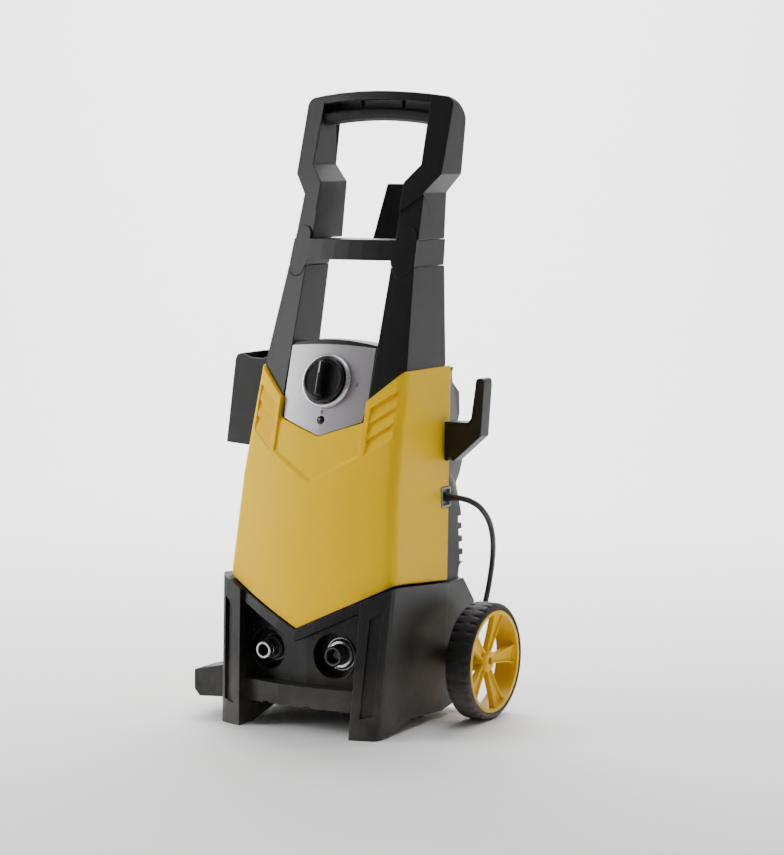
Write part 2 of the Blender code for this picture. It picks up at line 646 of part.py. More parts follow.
for side in (-1, 1):
    word = "right" if side > 0 else "left"
    channel = [(side * x, z) for x, z in channel_half]
    cut(handle_frame, moulding(f"handle_channel_{word}", channel, shifted(arm_front, SHELL + 0.0032),
                               flat(0.2), x_cuts=(side * 0.0975,)))
    step = [(0.055, 0.6500), (0.110, 0.6500), (0.110, 0.7300), (0.0953, 0.7176), (0.0662, 0.6923),
            (0.055, 0.6826)]
    cut(handle_frame, moulding(f"handle_step_{word}", [(side * x, z) for x, z in step],
                               flat(-0.1), shifted(arm_front, 0.0028), x_cuts=(side * 0.083,)))
    lobe = arc(0.0820, JOINT_HIGH + 0.0045, LOBE_R + GAP, 0, 180, 10)
    lobe = [(0.0820 + LOBE_R + GAP, 0.6400)] + lobe + [(0.0820 - LOBE_R - GAP, 0.6400)]
    cut(handle_frame, moulding(f"handle_lobe_{word}", [(side * x, z) for x, z in lobe],
                               flat(-0.1), shifted(arm_front, 0.0030 + GAP), x_cuts=(side * 0.0827,)))
    lid_half = [(0.0695, JOINT_HIGH + 0.0043), (0.0945, JOINT_HIGH + 0.0043), (0.0919, 0.7196),
                (0.1125, 0.7450), (0.1131, 0.8264), (0.0884, 0.8284), (0.0895, 0.7551), (0.0693, 0.7314)]
    moulding(f"handle_rear_lid_{word}", [(side * x, z) for x, z in lid_half],
             shifted(handle_back, -0.0030), shifted(handle_back, -0.0004), x_cuts=(side * 0.0975,),
             z_cuts=(0.8000, 0.8100, 0.8200), material=BODY_BLACK)

grip_points = [Vector((-0.0832 + 0.1664 * i / 12, 0.0, 0.0)) for i in range(13)]
for point in grip_points:
    point.y = 0.0850
    point.z = 0.8253 - 0.90 * point.x ** 2
grip_curve = tube("grip_curve", grip_points, 0.0097, 3, GRIP_BLACK)
PARTS.objects.unlink(grip_curve)
TOOLS.objects.link(grip_curve)
bpy.context.view_layer.update()
grip_data = bpy.data.meshes.new_from_object(grip_curve.evaluated_get(bpy.context.evaluated_depsgraph_get()))
grip_mesh = bmesh.new()
grip_mesh.from_mesh(grip_data)
bmesh.ops.remove_doubles(grip_mesh, verts=grip_mesh.verts[:], dist=0.00001)
bmesh.ops.scale(grip_mesh, vec=(1.0, 1.35, 1.0), verts=grip_mesh.verts[:],
                space=Matrix.Translation((0.0, -0.0850, 0.0)))
bpy.data.objects.remove(grip_curve, do_unlink=True)
handle_grip = from_bmesh("handle_grip", grip_mesh, GRIP_BLACK)
for side in (-1, 1):
    join(handle_grip, box(f"grip_rib_{side}", (side * 0.033 - 0.0009, 0.0860, 0.8280),
                          (side * 0.033 + 0.0009, 0.0955, 0.8440)))

plate_half = [(0.0, 0.6273), (0.0655, 0.6273), (0.0680, JOINT_LOW), (0.0835 - LOBE_R, JOINT_LOW)]
plate_half += arc(0.0835, JOINT_LOW - 0.0015, LOBE_R, 180, 360, 10)
plate_half += [(0.0835 + LOBE_R, JOINT_LOW), (arm_outer(JOINT_LOW) - 0.0003, JOINT_LOW), (0.0976, JOINT_HIGH),
               (0.0820 + LOBE_R, JOINT_HIGH)]
plate_half += arc(0.0820, JOINT_HIGH + 0.0045, LOBE_R, 0, 180, 10)
plate_half += [(0.0820 - LOBE_R, JOINT_HIGH), (0.0664, JOINT_HIGH), (0.0, JOINT_HIGH)]
crossbar = moulding("crossbar", both(plate_half), arm_front, shifted(arm_front, 0.0030),
                    x_cuts=(-0.0827, -0.066, -0.044, -0.022, 0.0, 0.022, 0.044, 0.066, 0.0827),
                    material=BODY_BLACK)
join(crossbar, moulding("crossbar_body", both([(0.0, 0.6276), (0.0668, 0.6276), (0.0682, JOINT_LOW + 0.0002),
                                               (0.0985, JOINT_LOW + 0.0002), (0.0972, JOINT_HIGH - 0.0002),
                                               (0.0, JOINT_HIGH - 0.0002)]),
                        shifted(arm_front, 0.0015), lambda x, z: 0.0575 + 0.236 * (z - 0.6190)
                        + 0.98 * max(abs(x) - 0.0675, 0.0),
                        x_cuts=(-0.0675, -0.044, -0.022, 0.0, 0.022, 0.044, 0.0675)))
crossbar_room = [(0.0, 0.6306), (0.0640, 0.6306), (0.0640, 0.6515), (0.0, 0.6515)]
cut(crossbar, moulding("crossbar_hollow", both(crossbar_room), shifted(arm_front, 0.0035), flat(0.2),
                       x_cuts=(-0.03, 0.0, 0.03)))
for side in (-1, 1):
    cut(crossbar, moulding(f"block_hollow_{side}", [(side * 0.0712, 0.6225), (side * 0.0945, 0.6225),
                                                    (side * 0.0945, 0.6515), (side * 0.0712, 0.6515)],
                           shifted(arm_front, 0.0065), flat(0.2)))

# ---- control panel and knob ---------------------------------------------------------------------
KNOB_AXIS = Vector((0.0, math.cos(math.atan(PANEL_LEAN)), -math.sin(math.atan(PANEL_LEAN))))
KNOB_CENTRE = Vector((0.0, KNOB_Y, KNOB_Z))
panel_half = [(0.0, PANEL_TIP_Z + 0.0006), (0.0617, 0.4143), (0.0662, 0.4426), (0.0662, 0.5112)]
panel_half += [(x, 0.5149 - 0.86 * x * x) for x in (0.050, 0.025, 0.0)]
control_panel = moulding("control_panel", both(panel_half), panel_face, shifted(panel_face, 0.0025),
                         x_cuts=(-0.05, -0.025, 0.0, 0.025, 0.05), z_cuts=(0.4426,), material=PANEL_SILVER)
cut(control_panel, cylinder("panel_hole", 0.0100, -0.02, 0.02, KNOB_CENTRE, KNOB_AXIS, 32))
LAMP = Vector((0.0, panel_face(0.0, 0.4146), 0.4146))
cut(control_panel, cylinder("lamp_hole", 0.0058, -0.02, 0.02, LAMP, KNOB_AXIS, 24))
turned("indicator_lamp", [
    (0.0, 0.0012), (0.0030, 0.0008), (0.0054, -0.0004), (0.0054, -0.0080), (0.0, -0.0080)],
    LAMP, -KNOB_AXIS, 20, False, LAMP_DARK)
turned("bezel_ring", [
    (0.0325, 0.0016), (0.0335, 0.0044), (0.0355, 0.0044), (0.0379, 0.0008), (0.0379, 0.0004),
    (0.0325, 0.0004)],
    KNOB_CENTRE, -KNOB_AXIS, 40, True, BEZEL_CHROME)
knob = turned("knob", [(0.0, 0.0095), (0.0266, 0.0095), (0.0284, 0.0110), (0.0302, 0.0105), (0.0313, 0.0085),
                       (0.0313, 0.0012), (0.0, 0.0012)],
              KNOB_CENTRE, -KNOB_AXIS, 40, False, KNOB_BLACK)
grip_bar = bmesh.new()
bmesh.ops.create_cube(grip_bar, size=1.0)
bmesh.ops.scale(grip_bar, vec=(0.0125, 0.0500, 0.0150), verts=grip_bar.verts[:])
for corner in grip_bar.verts:
    if corner.co.z > 0:
        corner.co.x *= 0.62
        corner.co.y *= 0.94
bmesh.ops.translate(grip_bar, vec=(0.0, 0.0, 0.0150), verts=grip_bar.verts[:])
bar_tool = from_bmesh("knob_bar", grip_bar)
bar_tool.matrix_world = stand(KNOB_CENTRE, -KNOB_AXIS)
join(knob, bar_tool)
cylinder("knob_spindle", 0.0040, -0.0009, 0.0300, KNOB_CENTRE, KNOB_AXIS, 16, STEEL)
switch_body = box("power_switch", (-0.021, 0.0, -0.021), (0.021, 0.030, 0.021), SWITCH_GREY)
switch_body.matrix_world = Matrix.Translation(KNOB_CENTRE + KNOB_AXIS * 0.0065) @ \
    Matrix.Rotation(-math.atan(PANEL_LEAN), 4, "X")
cut(switch_body, cylinder("switch_bore", 0.0044, -0.02, 0.05, KNOB_CENTRE, KNOB_AXIS, 16))


def roof_slope(name, drop):
    """Everything above the roof that falls rearwards from the top of the panel."""
    tool = box(name, (-0.2, 0.0, -drop), (0.2, 0.2, 0.08))
    fall = Matrix.Rotation(math.radians(-22.9), 4, "X")
    tool.matrix_world = Matrix.Translation((0.0, -0.0240, 0.5225)) @ fall
    return tool


cap_half = [(0.0, 0.4770), (0.0652, 0.4770), (0.0652, 0.5143)]
cap_half += [(x, 0.5213 - 1.65 * x * x) for x in (0.050, 0.025, 0.0)]
panel_cap = moulding("panel_cap", both(cap_half), shifted(panel_face, 0.0030), flat(0.0690),
                     x_cuts=(-0.05, -0.025, 0.0, 0.025, 0.05), material=BODY_BLACK)
cap_hollow = moulding("cap_hollow", both([(0.0, 0.46), (0.0622, 0.46), (0.0622, 0.5113), (0.0, 0.5160)]),
                      shifted(panel_face, 0.0060), flat(0.0660))
cut(cap_hollow, roof_slope("roof_inside", 0.0030))
cut(panel_cap, cap_hollow)
for side in (-1, 1):
    ear = [(0.0600, 0.4770), (0.1095, 0.4770), (0.1095, 0.4798), (0.0600, 0.4798)]
    join(panel_cap, moulding(f"cap_ear_{side}", [(side * x, z) for x, z in ear],
                             lambda x, z: max(arm_back(x, 0.481) + 0.0008, 0.0320), flat(0.0690),
                             x_cuts=(side * 0.0675, side * 0.0720, side * 0.09)))
cut(panel_cap, roof_slope("roof_outside", 0.0))
cut(panel_cap, box("switch_room", (-0.0230, -0.0700, 0.4600), (0.0230, 0.0100, 0.4895)))

# ---- wheels and axle ----------------------------------------------------------------------------
def wheel(side):
    word = "right" if side > 0 else "left"
    centre = Vector((side * WHEEL_X, AXLE_Y, WHEEL_R))
    out = Vector((side, 0.0, 0.0))
    half = WHEEL_W / 2
    turned(f"tyre_{word}", [
        (RIM_R + 0.0002, half - 0.0010), (0.0745, half), (0.0785, half - 0.0022), (WHEEL_R, half - 0.0060),
        (WHEEL_R, -half + 0.0060), (0.0785, -half + 0.0022), (0.0745, -half),
        (RIM_R + 0.0002, -half + 0.0010)],
        centre, out, 36, True, TYRE_RUBBER)
    rim = turned(f"rim_{word}", [
        (0.0650, half - 0.0006), (RIM_R - 0.0004, half - 0.0006), (RIM_R - 0.0004, -half + 0.0015),
        (0.0680, -half + 0.0015), (0.0665, half - 0.0080)],
        centre, out, 36, True, RIM_YELLOW)
    join(rim, turned(f"hub_{word}", [
        (0.0, half - 0.0085), (0.0110, half - 0.0085), (0.0150, half - 0.0110), (0.0160, -half + 0.0030),
        (0.0, -half + 0.0030)],
        centre, out, 24, False))
    for index in range(5):
        spoke = bmesh.new()
        bmesh.ops.create_cube(spoke, size=1.0)
        for corner in spoke.verts:
            far = corner.co.x > 0
            corner.co.x = 0.0668 if far else 0.0080
            corner.co.y = math.copysign(0.0135 if far else 0.0065, corner.co.y)
            if far:
                corner.co.z = half - 0.0030 if corner.co.z > 0 else half - 0.0125
            else:
                corner.co.z = half - 0.0100 if corner.co.z > 0 else half - 0.0210
        tool = from_bmesh(f"spoke_{word}_{index}", spoke)
        tool.matrix_world = stand(centre, out) @ Matrix.Rotation(math.radians(18 + 72 * index), 4, "Z")
        join(rim, tool)
    cut(rim, cylinder(f"hub_bore_{word}", HUB_BORE_R, -half - 0.01, half - 0.0125, centre, out, 24))
    cut(rim, cylinder(f"clip_room_{word}", 0.0095, half - 0.0185, half - 0.0125, centre, out, 24))


wheel(-1)
wheel(1)
axle_end = WHEEL_X + WHEEL_W / 2 - 0.0128
cylinder("axle", AXLE_R, -axle_end, axle_end, (0.0, AXLE_Y, WHEEL_R), (1, 0, 0), 24, STEEL)
for side, word in ((-1, "left"), (1, "right")):
    turned(f"axle_clip_{word}",
           [(AXLE_R + GAP, 0.0012), (0.0085, 0.0012), (0.0085, 0.0), (AXLE_R + GAP, 0.0)],
           (side * (axle_end - 0.0030), AXLE_Y, WHEEL_R), (side, 0, 0), 24, True, STEEL)

# ---- water connections --------------------------------------------------------------------------
FORWARDS = (0, -1, 0)
PIPE_R = 0.0097
turned("outlet_fitting", [
    (0.0080, 0.0200), (0.0108, 0.0200), (0.0118, 0.0190), (0.0118, 0.0), (PIPE_R, -0.0005), (PIPE_R, -0.0350),
    (0.0080, -0.0350)],
    (OUTLET_X, -0.1000, CUP_Z), FORWARDS, 28, True, FITTING_METAL)
turned("outlet_collar", [
    (0.0122, 0.0050), (0.0150, 0.0050), (0.0164, 0.0035), (0.0164, -0.0080), (0.0122, -0.0080)],
    (OUTLET_X, -0.0945, CUP_Z), FORWARDS, 28, True, FITTING_PLASTIC)
turned("inlet_fitting", [
    (0.0098, 0.0200), (0.0128, 0.0200), (0.0138, 0.0190), (0.0138, 0.0), (PIPE_R, -0.0005), (PIPE_R, -0.0270),
    (0.0070, -0.0270), (0.0070, -0.0020), (0.0098, 0.0)],
    (INLET_X, -0.0916, CUP_Z), FORWARDS, 28, True, FITTING_PLASTIC)
turned("inlet_collar", [
    (0.0142, 0.0040), (0.0180, 0.0040), (0.0195, 0.0025), (0.0195, -0.0013), (0.0142, -0.0013)],
    (INLET_X, -0.0894, CUP_Z), FORWARDS, 28, True, FITTING_METAL)
turned("inlet_filter", [(0.0, 0.0120), (0.0055, 0.0100), (0.0090, 0.0014), (0.0090, 0.0004), (0.0, 0.0004)],
       (INLET_X, -0.0916, CUP_Z), FORWARDS, 20, False, FILTER_MESH)

# ---- holders clipped to the body ----------------------------------------------------------------
holster_outline = [(-0.1185, 0.4790), (-0.1185, 0.4880), (-0.1300, 0.4905), (-0.1400, 0.4870),
                   (-0.1600, 0.4880), (-0.1745, 0.4935), (-0.1818, 0.4915), (-0.1845, 0.4850),
                   (-0.1845, 0.3700), (-0.1240, 0.3660)]


def holster_front(x, z):
    return -0.0010 + 0.205 * (z - 0.5020)


HOLSTER_DEPTH = 0.0700
HOLDER_SHELL = 0.0035
gun_holster = moulding("gun_holster", holster_outline, holster_front, shifted(holster_front, HOLSTER_DEPTH),
                       material=BODY_BLACK)
holster_room = [(-0.1285, 0.60), (-0.1812, 0.60), (-0.1812, 0.3740), (-0.1285, 0.3740)]
cut(gun_holster, moulding("holster_hollow", holster_room, shifted(holster_front, HOLDER_SHELL),
                          shifted(holster_front, HOLSTER_DEPTH - HOLDER_SHELL)))

lance_outline = [(-0.1305, 0.0280), (-0.1305, 0.0735), (-0.1845, 0.0615), (-0.1845, 0.0340),
                 (-0.1760, 0.0246)]
lance_cup = moulding("lance_cup", lance_outline, flat(-0.1109), flat(-0.0560), material=BODY_BLACK)
lance_room = [(-0.1335, 0.0300), (-0.1335, 0.12), (-0.1812, 0.12), (-0.1812, 0.0352), (-0.1745, 0.0280)]
cut(lance_cup, moulding("lance_hollow", lance_room, flat(-0.1079), flat(-0.0590)))

hook_shape = [
    (0.1245, 0.3547), (0.1389, 0.3547), (0.1804, 0.3905), (0.1855, 0.4600), (0.1850, 0.4670),
    (0.1820, 0.4695), (0.1760, 0.4695), (0.1727, 0.4665), (0.1722, 0.4600), (0.1655, 0.4150),
    (0.1610, 0.4088), (0.1245, 0.4080)]
cable_hook = moulding("cable_hook", hook_shape, flat(0.0439), flat(0.0685), material=BODY_BLACK)
cut(cable_hook, moulding("hook_channel", [
    (0.1560, 0.3800), (0.1772, 0.3925), (0.1815, 0.4600), (0.1765, 0.4640), (0.1700, 0.4130),
    (0.1640, 0.4040), (0.1560, 0.4030)],
    flat(0.0600), flat(0.09)))
cut(cable_hook, box("hook_notch", (0.1305, 0.04, 0.3500), (0.1365, 0.0550, 0.3600)))

hose_profile = [(0.0890, 0.6240), (0.0955, 0.6240), (0.1080, 0.6530), (0.1468, 0.7237), (0.1440, 0.7290),
                (0.1375, 0.7285), (0.1000, 0.6580), (0.0890, 0.6420)]
hose_hook = side_moulding("hose_hook", hose_profile, lambda y, z: 0.0205, material=BODY_BLACK)
hose_stem = [(0.0300, 0.6312), (0.0900, 0.6312), (0.0920, 0.6480), (0.0300, 0.6480)]
join(hose_hook, side_moulding("hose_hook_stem", hose_stem, lambda y, z: 0.0170))

# ---- mains cable --------------------------------------------------------------------------------
gland_x = cover_half(GLAND_Z)
cord_gland = box("cord_gland", (gland_x - 0.0160, 0.0366, 0.2901), (gland_x + 0.0012, 0.0614, 0.3177),
                 GLAND_GREY)
cut(cord_gland, cylinder("gland_bore", 0.0068, 0.09, 0.15, (0.0, GLAND_Y, GLAND_Z), (1, 0, 0), 20))
cut(cord_gland, box("gland_recess", (gland_x - 0.0035, 0.0395, 0.2930), (gland_x + 0.01, 0.0585, 0.3148)))
RELIEF_LEN = 0.0140
turned("strain_relief", [
    (0.0, RELIEF_LEN), (0.0052, RELIEF_LEN), (0.0064, 0.0), (0.0064, -0.0120), (0.0, -0.0120)],
    (gland_x - 0.0030, GLAND_Y, GLAND_Z), (1, 0, 0), 20, False, CORD_RUBBER)
cord_start = Vector((gland_x - 0.0030 + RELIEF_LEN + 0.0005, GLAND_Y, GLAND_Z))
CORD_ROUTE = [
    cord_start,
    Vector((0.1478, 0.0494, 0.3039)),
    Vector((0.1600, 0.0560, 0.2995)),
    Vector((0.1680, 0.0710, 0.2880)),
    Vector((0.1680, 0.0960, 0.2640)),
    Vector((0.1580, 0.1240, 0.2270)),
    Vector((0.1400, 0.1480, 0.1760)),
    Vector((0.1180, 0.1650, 0.1180)),
    Vector((0.0930, 0.1740, 0.0620)),
    Vector((0.0680, 0.1730, 0.0250)),
    Vector((0.0420, 0.1690, 0.0090)),
    Vector((0.0150, 0.1660, 0.0043)),
    Vector((-0.0150, 0.1655, 0.0043)),
    Vector((-0.0550, 0.1667, 0.0043)),
]
path = smooth_path(CORD_ROUTE, 0.014)
tube("power_cord", path, CORD_R, 2, CORD_RUBBER)
turned("cord_coil", [
    (COIL_IN_R, COIL_H), (COIL_OUT_R, COIL_H), (COIL_OUT_R, COIL_LOW), (COIL_IN_R, COIL_LOW)],
    (COIL_X, COIL_Y, 0.0), (0, 0, 1), 36, True, CORD_RUBBER)
tie_angle = math.radians(35)
tie_mid = Vector((COIL_X + 0.048 * math.cos(tie_angle), COIL_Y + 0.048 * math.sin(tie_angle), 0.0))
tie = box("cord_tie", (-0.0180, -0.0045, 0.0002), (0.0180, 0.0045, COIL_H + 0.0015), CORD_RUBBER)
tie.matrix_world = Matrix.Translation(tie_mid) @ Matrix.Rotation(tie_angle, 4, "Z")
tie_room = box("tie_room", (-0.0167, -0.0100, COIL_LOW - GAP), (0.0167, 0.0100, COIL_H + GAP))
tie_room.matrix_world = tie.matrix_world
cut(tie, tie_room)

tail_turn = math.radians(250)
plug_way = Vector((-0.966, -0.259, 0.0)).normalized()
PLUG_REACH = 0.0700
PLUG_TAIL = 0.0280
plug_tail = Vector((COIL_X, COIL_Y, 0.0195))
plug_tail += Vector((math.cos(tail_turn), math.sin(tail_turn), 0.0)) * PLUG_REACH
plug_at = plug_tail + plug_way * PLUG_TAIL
turned("plug_body", [
    (0.0, 0.0170), (0.0170, 0.0170), (0.0185, 0.0150), (0.0190, -0.0010), (0.0120, -0.0130),
    (0.0070, -PLUG_TAIL), (0.0, -PLUG_TAIL)],
    plug_at, plug_way, 24, False, CORD_RUBBER)
across = Vector((plug_way.y, -plug_way.x, 0.0))
for index, offset in enumerate((-0.0095, 0.0095)):
    pin_at = plug_at + across * offset
    cylinder(f"plug_pin_{'ab'[index]}", 0.0024, 0.0173, 0.0363, pin_at, plug_way, 12, BRASS)

# ---- motor and pump -----------------------------------------------------------------------------
UP = (0.0, 0.0, 1.0)
SPINDLE = Vector((0.0, MOTOR_Y, 0.0))
turned("motor_housing", [
    (0.0500, MOTOR_HIGH), (MOTOR_R, MOTOR_HIGH), (MOTOR_R, MOTOR_LOW), (0.0140, MOTOR_LOW),
    (0.0140, MOTOR_LOW + 0.0040), (0.0500, MOTOR_LOW + 0.0040)],
    SPINDLE, UP, 32, True, ALUMINIUM)
turned("stator_core", [(0.0365, 0.3550), (0.0496, 0.3550), (0.0496, 0.2850), (0.0365, 0.2850)],
       SPINDLE, UP, 32, True, LAMINATE)
turned("stator_winding", [(0.0385, 0.3780), (0.0480, 0.3780), (0.0480, 0.3555), (0.0385, 0.3555)],
       SPINDLE, UP, 24, True, BRASS)
turned("rotor_core", [(SHAFT_R + GAP, 0.3500), (0.0355, 0.3500), (0.0355, 0.2900), (SHAFT_R + GAP, 0.2900)],
       SPINDLE, UP, 32, True, LAMINATE)
cylinder("motor_shaft", SHAFT_R, 0.2440, 0.4160, SPINDLE, UP, 20, STEEL)
turned("motor_end_bracket", [
    (0.0140, MOTOR_HIGH + 0.0050), (0.0520, MOTOR_HIGH + 0.0050), (0.0520, MOTOR_HIGH + GAP),
    (0.0140, MOTOR_HIGH + GAP)],
    SPINDLE, UP, 28, True, ALUMINIUM)
BEARING_R = 0.0137
for word, bearing_low in (("upper", MOTOR_HIGH - 0.0035), ("lower", MOTOR_LOW - 0.0020)):
    turned(f"{word}_bearing", [
        (SHAFT_R + GAP, bearing_low + 0.0080), (BEARING_R, bearing_low + 0.0080), (BEARING_R, bearing_low),
        (SHAFT_R + GAP, bearing_low)],
        SPINDLE, UP, 24, True, STEEL)
fan = turned("cooling_fan", [
    (SHAFT_R + GAP, 0.4150), (0.0130, 0.4150), (0.0130, 0.4030), (0.0430, 0.4030), (0.0430, 0.4008),
    (SHAFT_R + GAP, 0.4008)],
    SPINDLE, UP, 28, True, FAN_PLASTIC)
for index in range(8):
    blade = box(f"fan_blade_{index}", (0.0120, -0.0008, 0.4020), (0.0415, 0.0008, 0.4130))
    blade.matrix_world = Matrix.Translation(SPINDLE) @ Matrix.Rotation(math.tau * index / 8, 4, "Z")
    join(fan, blade)

swash = cylinder("swash_plate", 0.0270, 0.2300, 0.2440, SPINDLE, UP, 32, STEEL)
tilt = box("swash_face", (-0.06, -0.06, -0.02), (0.06, 0.06, 0.0))
SWASH_TILT = math.radians(9)
swash_low = SPINDLE + Vector((0.0, 0.0, 0.2290))
tilt.matrix_world = Matrix.Translation(swash_low) @ Matrix.Rotation(SWASH_TILT, 4, "X")
cut(swash, tilt)
cut(swash, cylinder("swash_bore", SHAFT_R + GAP, 0.2420, 0.2500, SPINDLE, UP, 20))

SPRING_TURNS = 4
SPRING_STEPS = 10
SPRING_R = 0.0074
SPRING_LOW = 0.1872
SPRING_HIGH = PISTON_TOP - 0.0037
pump_body = cylinder("pump_body", 0.0450, 0.1560, MOTOR_LOW - GAP, SPINDLE, UP, 32, ALUMINIUM)
cut(pump_body, cylinder("spring_room", 0.0380, 0.1860, 0.3000, SPINDLE, UP, 32))
for index in range(3):
    letter = "abc"[index]
    angle = math.radians(90 + 120 * index)
    at = SPINDLE + Vector((math.cos(angle), math.sin(angle), 0.0)) * PISTON_RING_R
    cut(pump_body, cylinder(f"piston_bore_{letter}", PISTON_R + 0.0004, 0.1620, 0.2000, at, UP, 16))
    turned(f"piston_{letter}", [
        (0.0, PISTON_TOP), (0.0085, PISTON_TOP), (0.0085, PISTON_TOP - 0.0024),
        (PISTON_R - 0.0002, PISTON_TOP - 0.0024), (PISTON_R - 0.0002, 0.1700), (0.0, 0.1700)],
        at, UP, 16, False, STEEL)
    coil = []
    for k in range(SPRING_TURNS * SPRING_STEPS + 1):
        phase = math.tau * k / SPRING_STEPS
        rise = (SPRING_HIGH - SPRING_LOW) * k / (SPRING_TURNS * SPRING_STEPS)
        coil.append(at + Vector((SPRING_R * math.cos(phase), SPRING_R * math.sin(phase), SPRING_LOW + rise)))
    tube(f"piston_spring_{letter}", coil, 0.0007, 0, STEEL)

pump_head = box("pump_head", (-0.0800, -0.0560, 0.1180), (0.0620, 0.0440, 0.1550), ALUMINIUM)
for word, x in (("outlet", OUTLET_X), ("inlet", INLET_X)):
    join(pump_head, box(f"{word}_riser", (x - 0.011, -0.0555, CUP_Z - 0.011), (x + 0.011, -0.0340, 0.1250)))
    cut(pump_head, cylinder(f"{word}_socket", 0.0100, -0.0800, -0.0400, (x, 0.0, CUP_Z), (0, 1, 0), 20))
turned("start_capacitor", [(0.0, 0.3300), (0.0155, 0.3300), (0.0155, 0.2700), (0.0, 0.2700)],
       (-0.0800, 0.0300, 0.0), UP, 20, False, SWITCH_GREY)

# ---- leftover flat facets are merged ------------------------------------------------------------
for piece in (front_cover, rear_casing, base_front, handle_frame, crossbar, pump_body, knob, pump_head,
              bpy.data.objects["rim_left"], bpy.data.objects["rim_right"], bpy.data.objects["arm_left"],
              bpy.data.objects["arm_right"], control_panel, fan):
    merge = piece.modifiers.new("flat_facets", "DECIMATE")
    merge.decimate_type = "DISSOLVE"
    merge.angle_limit = math.radians(0.3)
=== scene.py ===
import json
import math

import bpy
from mathutils import Matrix, Vector

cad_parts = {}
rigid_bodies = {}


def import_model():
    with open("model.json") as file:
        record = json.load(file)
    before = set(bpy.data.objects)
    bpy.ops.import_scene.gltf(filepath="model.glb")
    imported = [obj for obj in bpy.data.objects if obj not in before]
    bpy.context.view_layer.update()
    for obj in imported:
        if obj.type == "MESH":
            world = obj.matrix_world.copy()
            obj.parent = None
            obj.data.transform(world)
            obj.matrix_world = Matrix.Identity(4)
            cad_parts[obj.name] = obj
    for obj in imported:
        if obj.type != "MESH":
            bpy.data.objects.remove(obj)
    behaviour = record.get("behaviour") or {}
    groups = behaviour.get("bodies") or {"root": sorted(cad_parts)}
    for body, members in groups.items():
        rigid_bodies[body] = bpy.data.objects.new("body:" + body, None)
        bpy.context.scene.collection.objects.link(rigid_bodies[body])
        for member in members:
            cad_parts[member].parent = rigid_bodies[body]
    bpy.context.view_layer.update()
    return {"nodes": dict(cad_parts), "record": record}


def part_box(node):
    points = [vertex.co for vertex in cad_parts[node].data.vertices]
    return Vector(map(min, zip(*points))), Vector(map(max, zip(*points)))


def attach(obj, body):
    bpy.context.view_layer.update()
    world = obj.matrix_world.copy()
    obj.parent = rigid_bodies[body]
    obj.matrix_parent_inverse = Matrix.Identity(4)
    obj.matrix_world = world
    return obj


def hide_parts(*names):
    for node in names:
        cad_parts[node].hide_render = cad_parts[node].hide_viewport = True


print("frame: loading the washer")
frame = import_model()
nodes = frame["nodes"]
bodyOf = {node: body for body, names in frame["record"]["behaviour"]["bodies"].items() for node in names}
slotOf = {part["node"]: part["material_slot"] for part in frame["record"]["subparts"]}


def clearSelection():
    for item in bpy.context.view_layer.objects:
        item.select_set(False)


def pick(piece):
    clearSelection()
    bpy.context.view_layer.objects.active = piece
    piece.select_set(True)
    return piece


clearSelection()

# long lens, aimed from the front on the cable side
cameraPlace = {"location": (1.7957, -2.9464, 0.7733), "target": (0.0638, 0.0070, 0.4003), "lens": 106.54,
               "sensor": 36}
bpy.ops.object.camera_add(location=cameraPlace["location"])
camera = bpy.context.object
aim = Vector(cameraPlace["target"]) - Vector(cameraPlace["location"])
camera.rotation_euler = aim.to_track_quat("-Z", "Y").to_euler()
camera.data.lens = cameraPlace["lens"]
camera.data.sensor_width = cameraPlace["sensor"]
bpy.context.scene.camera = camera
print("camera: placed")


# shared effects: fine grain with slow waves, and worn patches with dust near the floor
grainLook = {"fineDetail": 3.0, "fineDepth": 0.0004, "waveScale": 28.0, "waveDetail": 1.0,
             "waveDepth": 0.004}
wearLook = {"scale": 7.0, "detail": 6.0, "roughness": 0.62, "start": 0.35, "end": 0.68}


def newGroup(name, inputs, outputs):
    group = bpy.data.node_groups.new(name, "ShaderNodeTree")
    for label, kind, value in inputs:
        socket = group.interface.new_socket(name=label, in_out="INPUT", socket_type=kind)
        if value is not None:
            socket.default_value = value
    for label, kind in outputs:
        group.interface.new_socket(name=label, in_out="OUTPUT", socket_type=kind)
    return group, group.nodes.new("NodeGroupInput"), group.nodes.new("NodeGroupOutput")


def mouldedGrainGroup():
    group, source, result = newGroup(
        "mouldedGrain",
        [("Vector", "NodeSocketVector", None), ("Normal", "NodeSocketVector", None),
         ("Scale", "NodeSocketFloat", 900.0), ("Height", "NodeSocketFloat", 0.3),
         ("Waviness", "NodeSocketFloat", 0.1)],
        [("Normal", "NodeSocketVector"), ("Grain", "NodeSocketFloat")])
    add, link = group.nodes.new, group.links.new
    fine = add("ShaderNodeTexNoise")
    fine.inputs["Detail"].default_value = grainLook["fineDetail"]
    link(source.outputs["Vector"], fine.inputs["Vector"])
    link(source.outputs["Scale"], fine.inputs["Scale"])
    wavy = add("ShaderNodeTexNoise")
    wavy.inputs["Scale"].default_value = grainLook["waveScale"]
    wavy.inputs["Detail"].default_value = grainLook["waveDetail"]
    link(source.outputs["Vector"], wavy.inputs["Vector"])
    broad = add("ShaderNodeBump")
    broad.inputs["Distance"].default_value = grainLook["waveDepth"]
    link(source.outputs["Waviness"], broad.inputs["Strength"])
    link(wavy.outputs["Fac"], broad.inputs["Height"])
    link(source.outputs["Normal"], broad.inputs["Normal"])
    close = add("ShaderNodeBump")
    close.inputs["Distance"].default_value = grainLook["fineDepth"]
    link(source.outputs["Height"], close.inputs["Strength"])
    link(fine.outputs["Fac"], close.inputs["Height"])
    link(broad.outputs["Normal"], close.inputs["Normal"])
    link(close.outputs["Normal"], result.inputs["Normal"])
    link(fine.outputs["Fac"], result.inputs["Grain"])
    return group


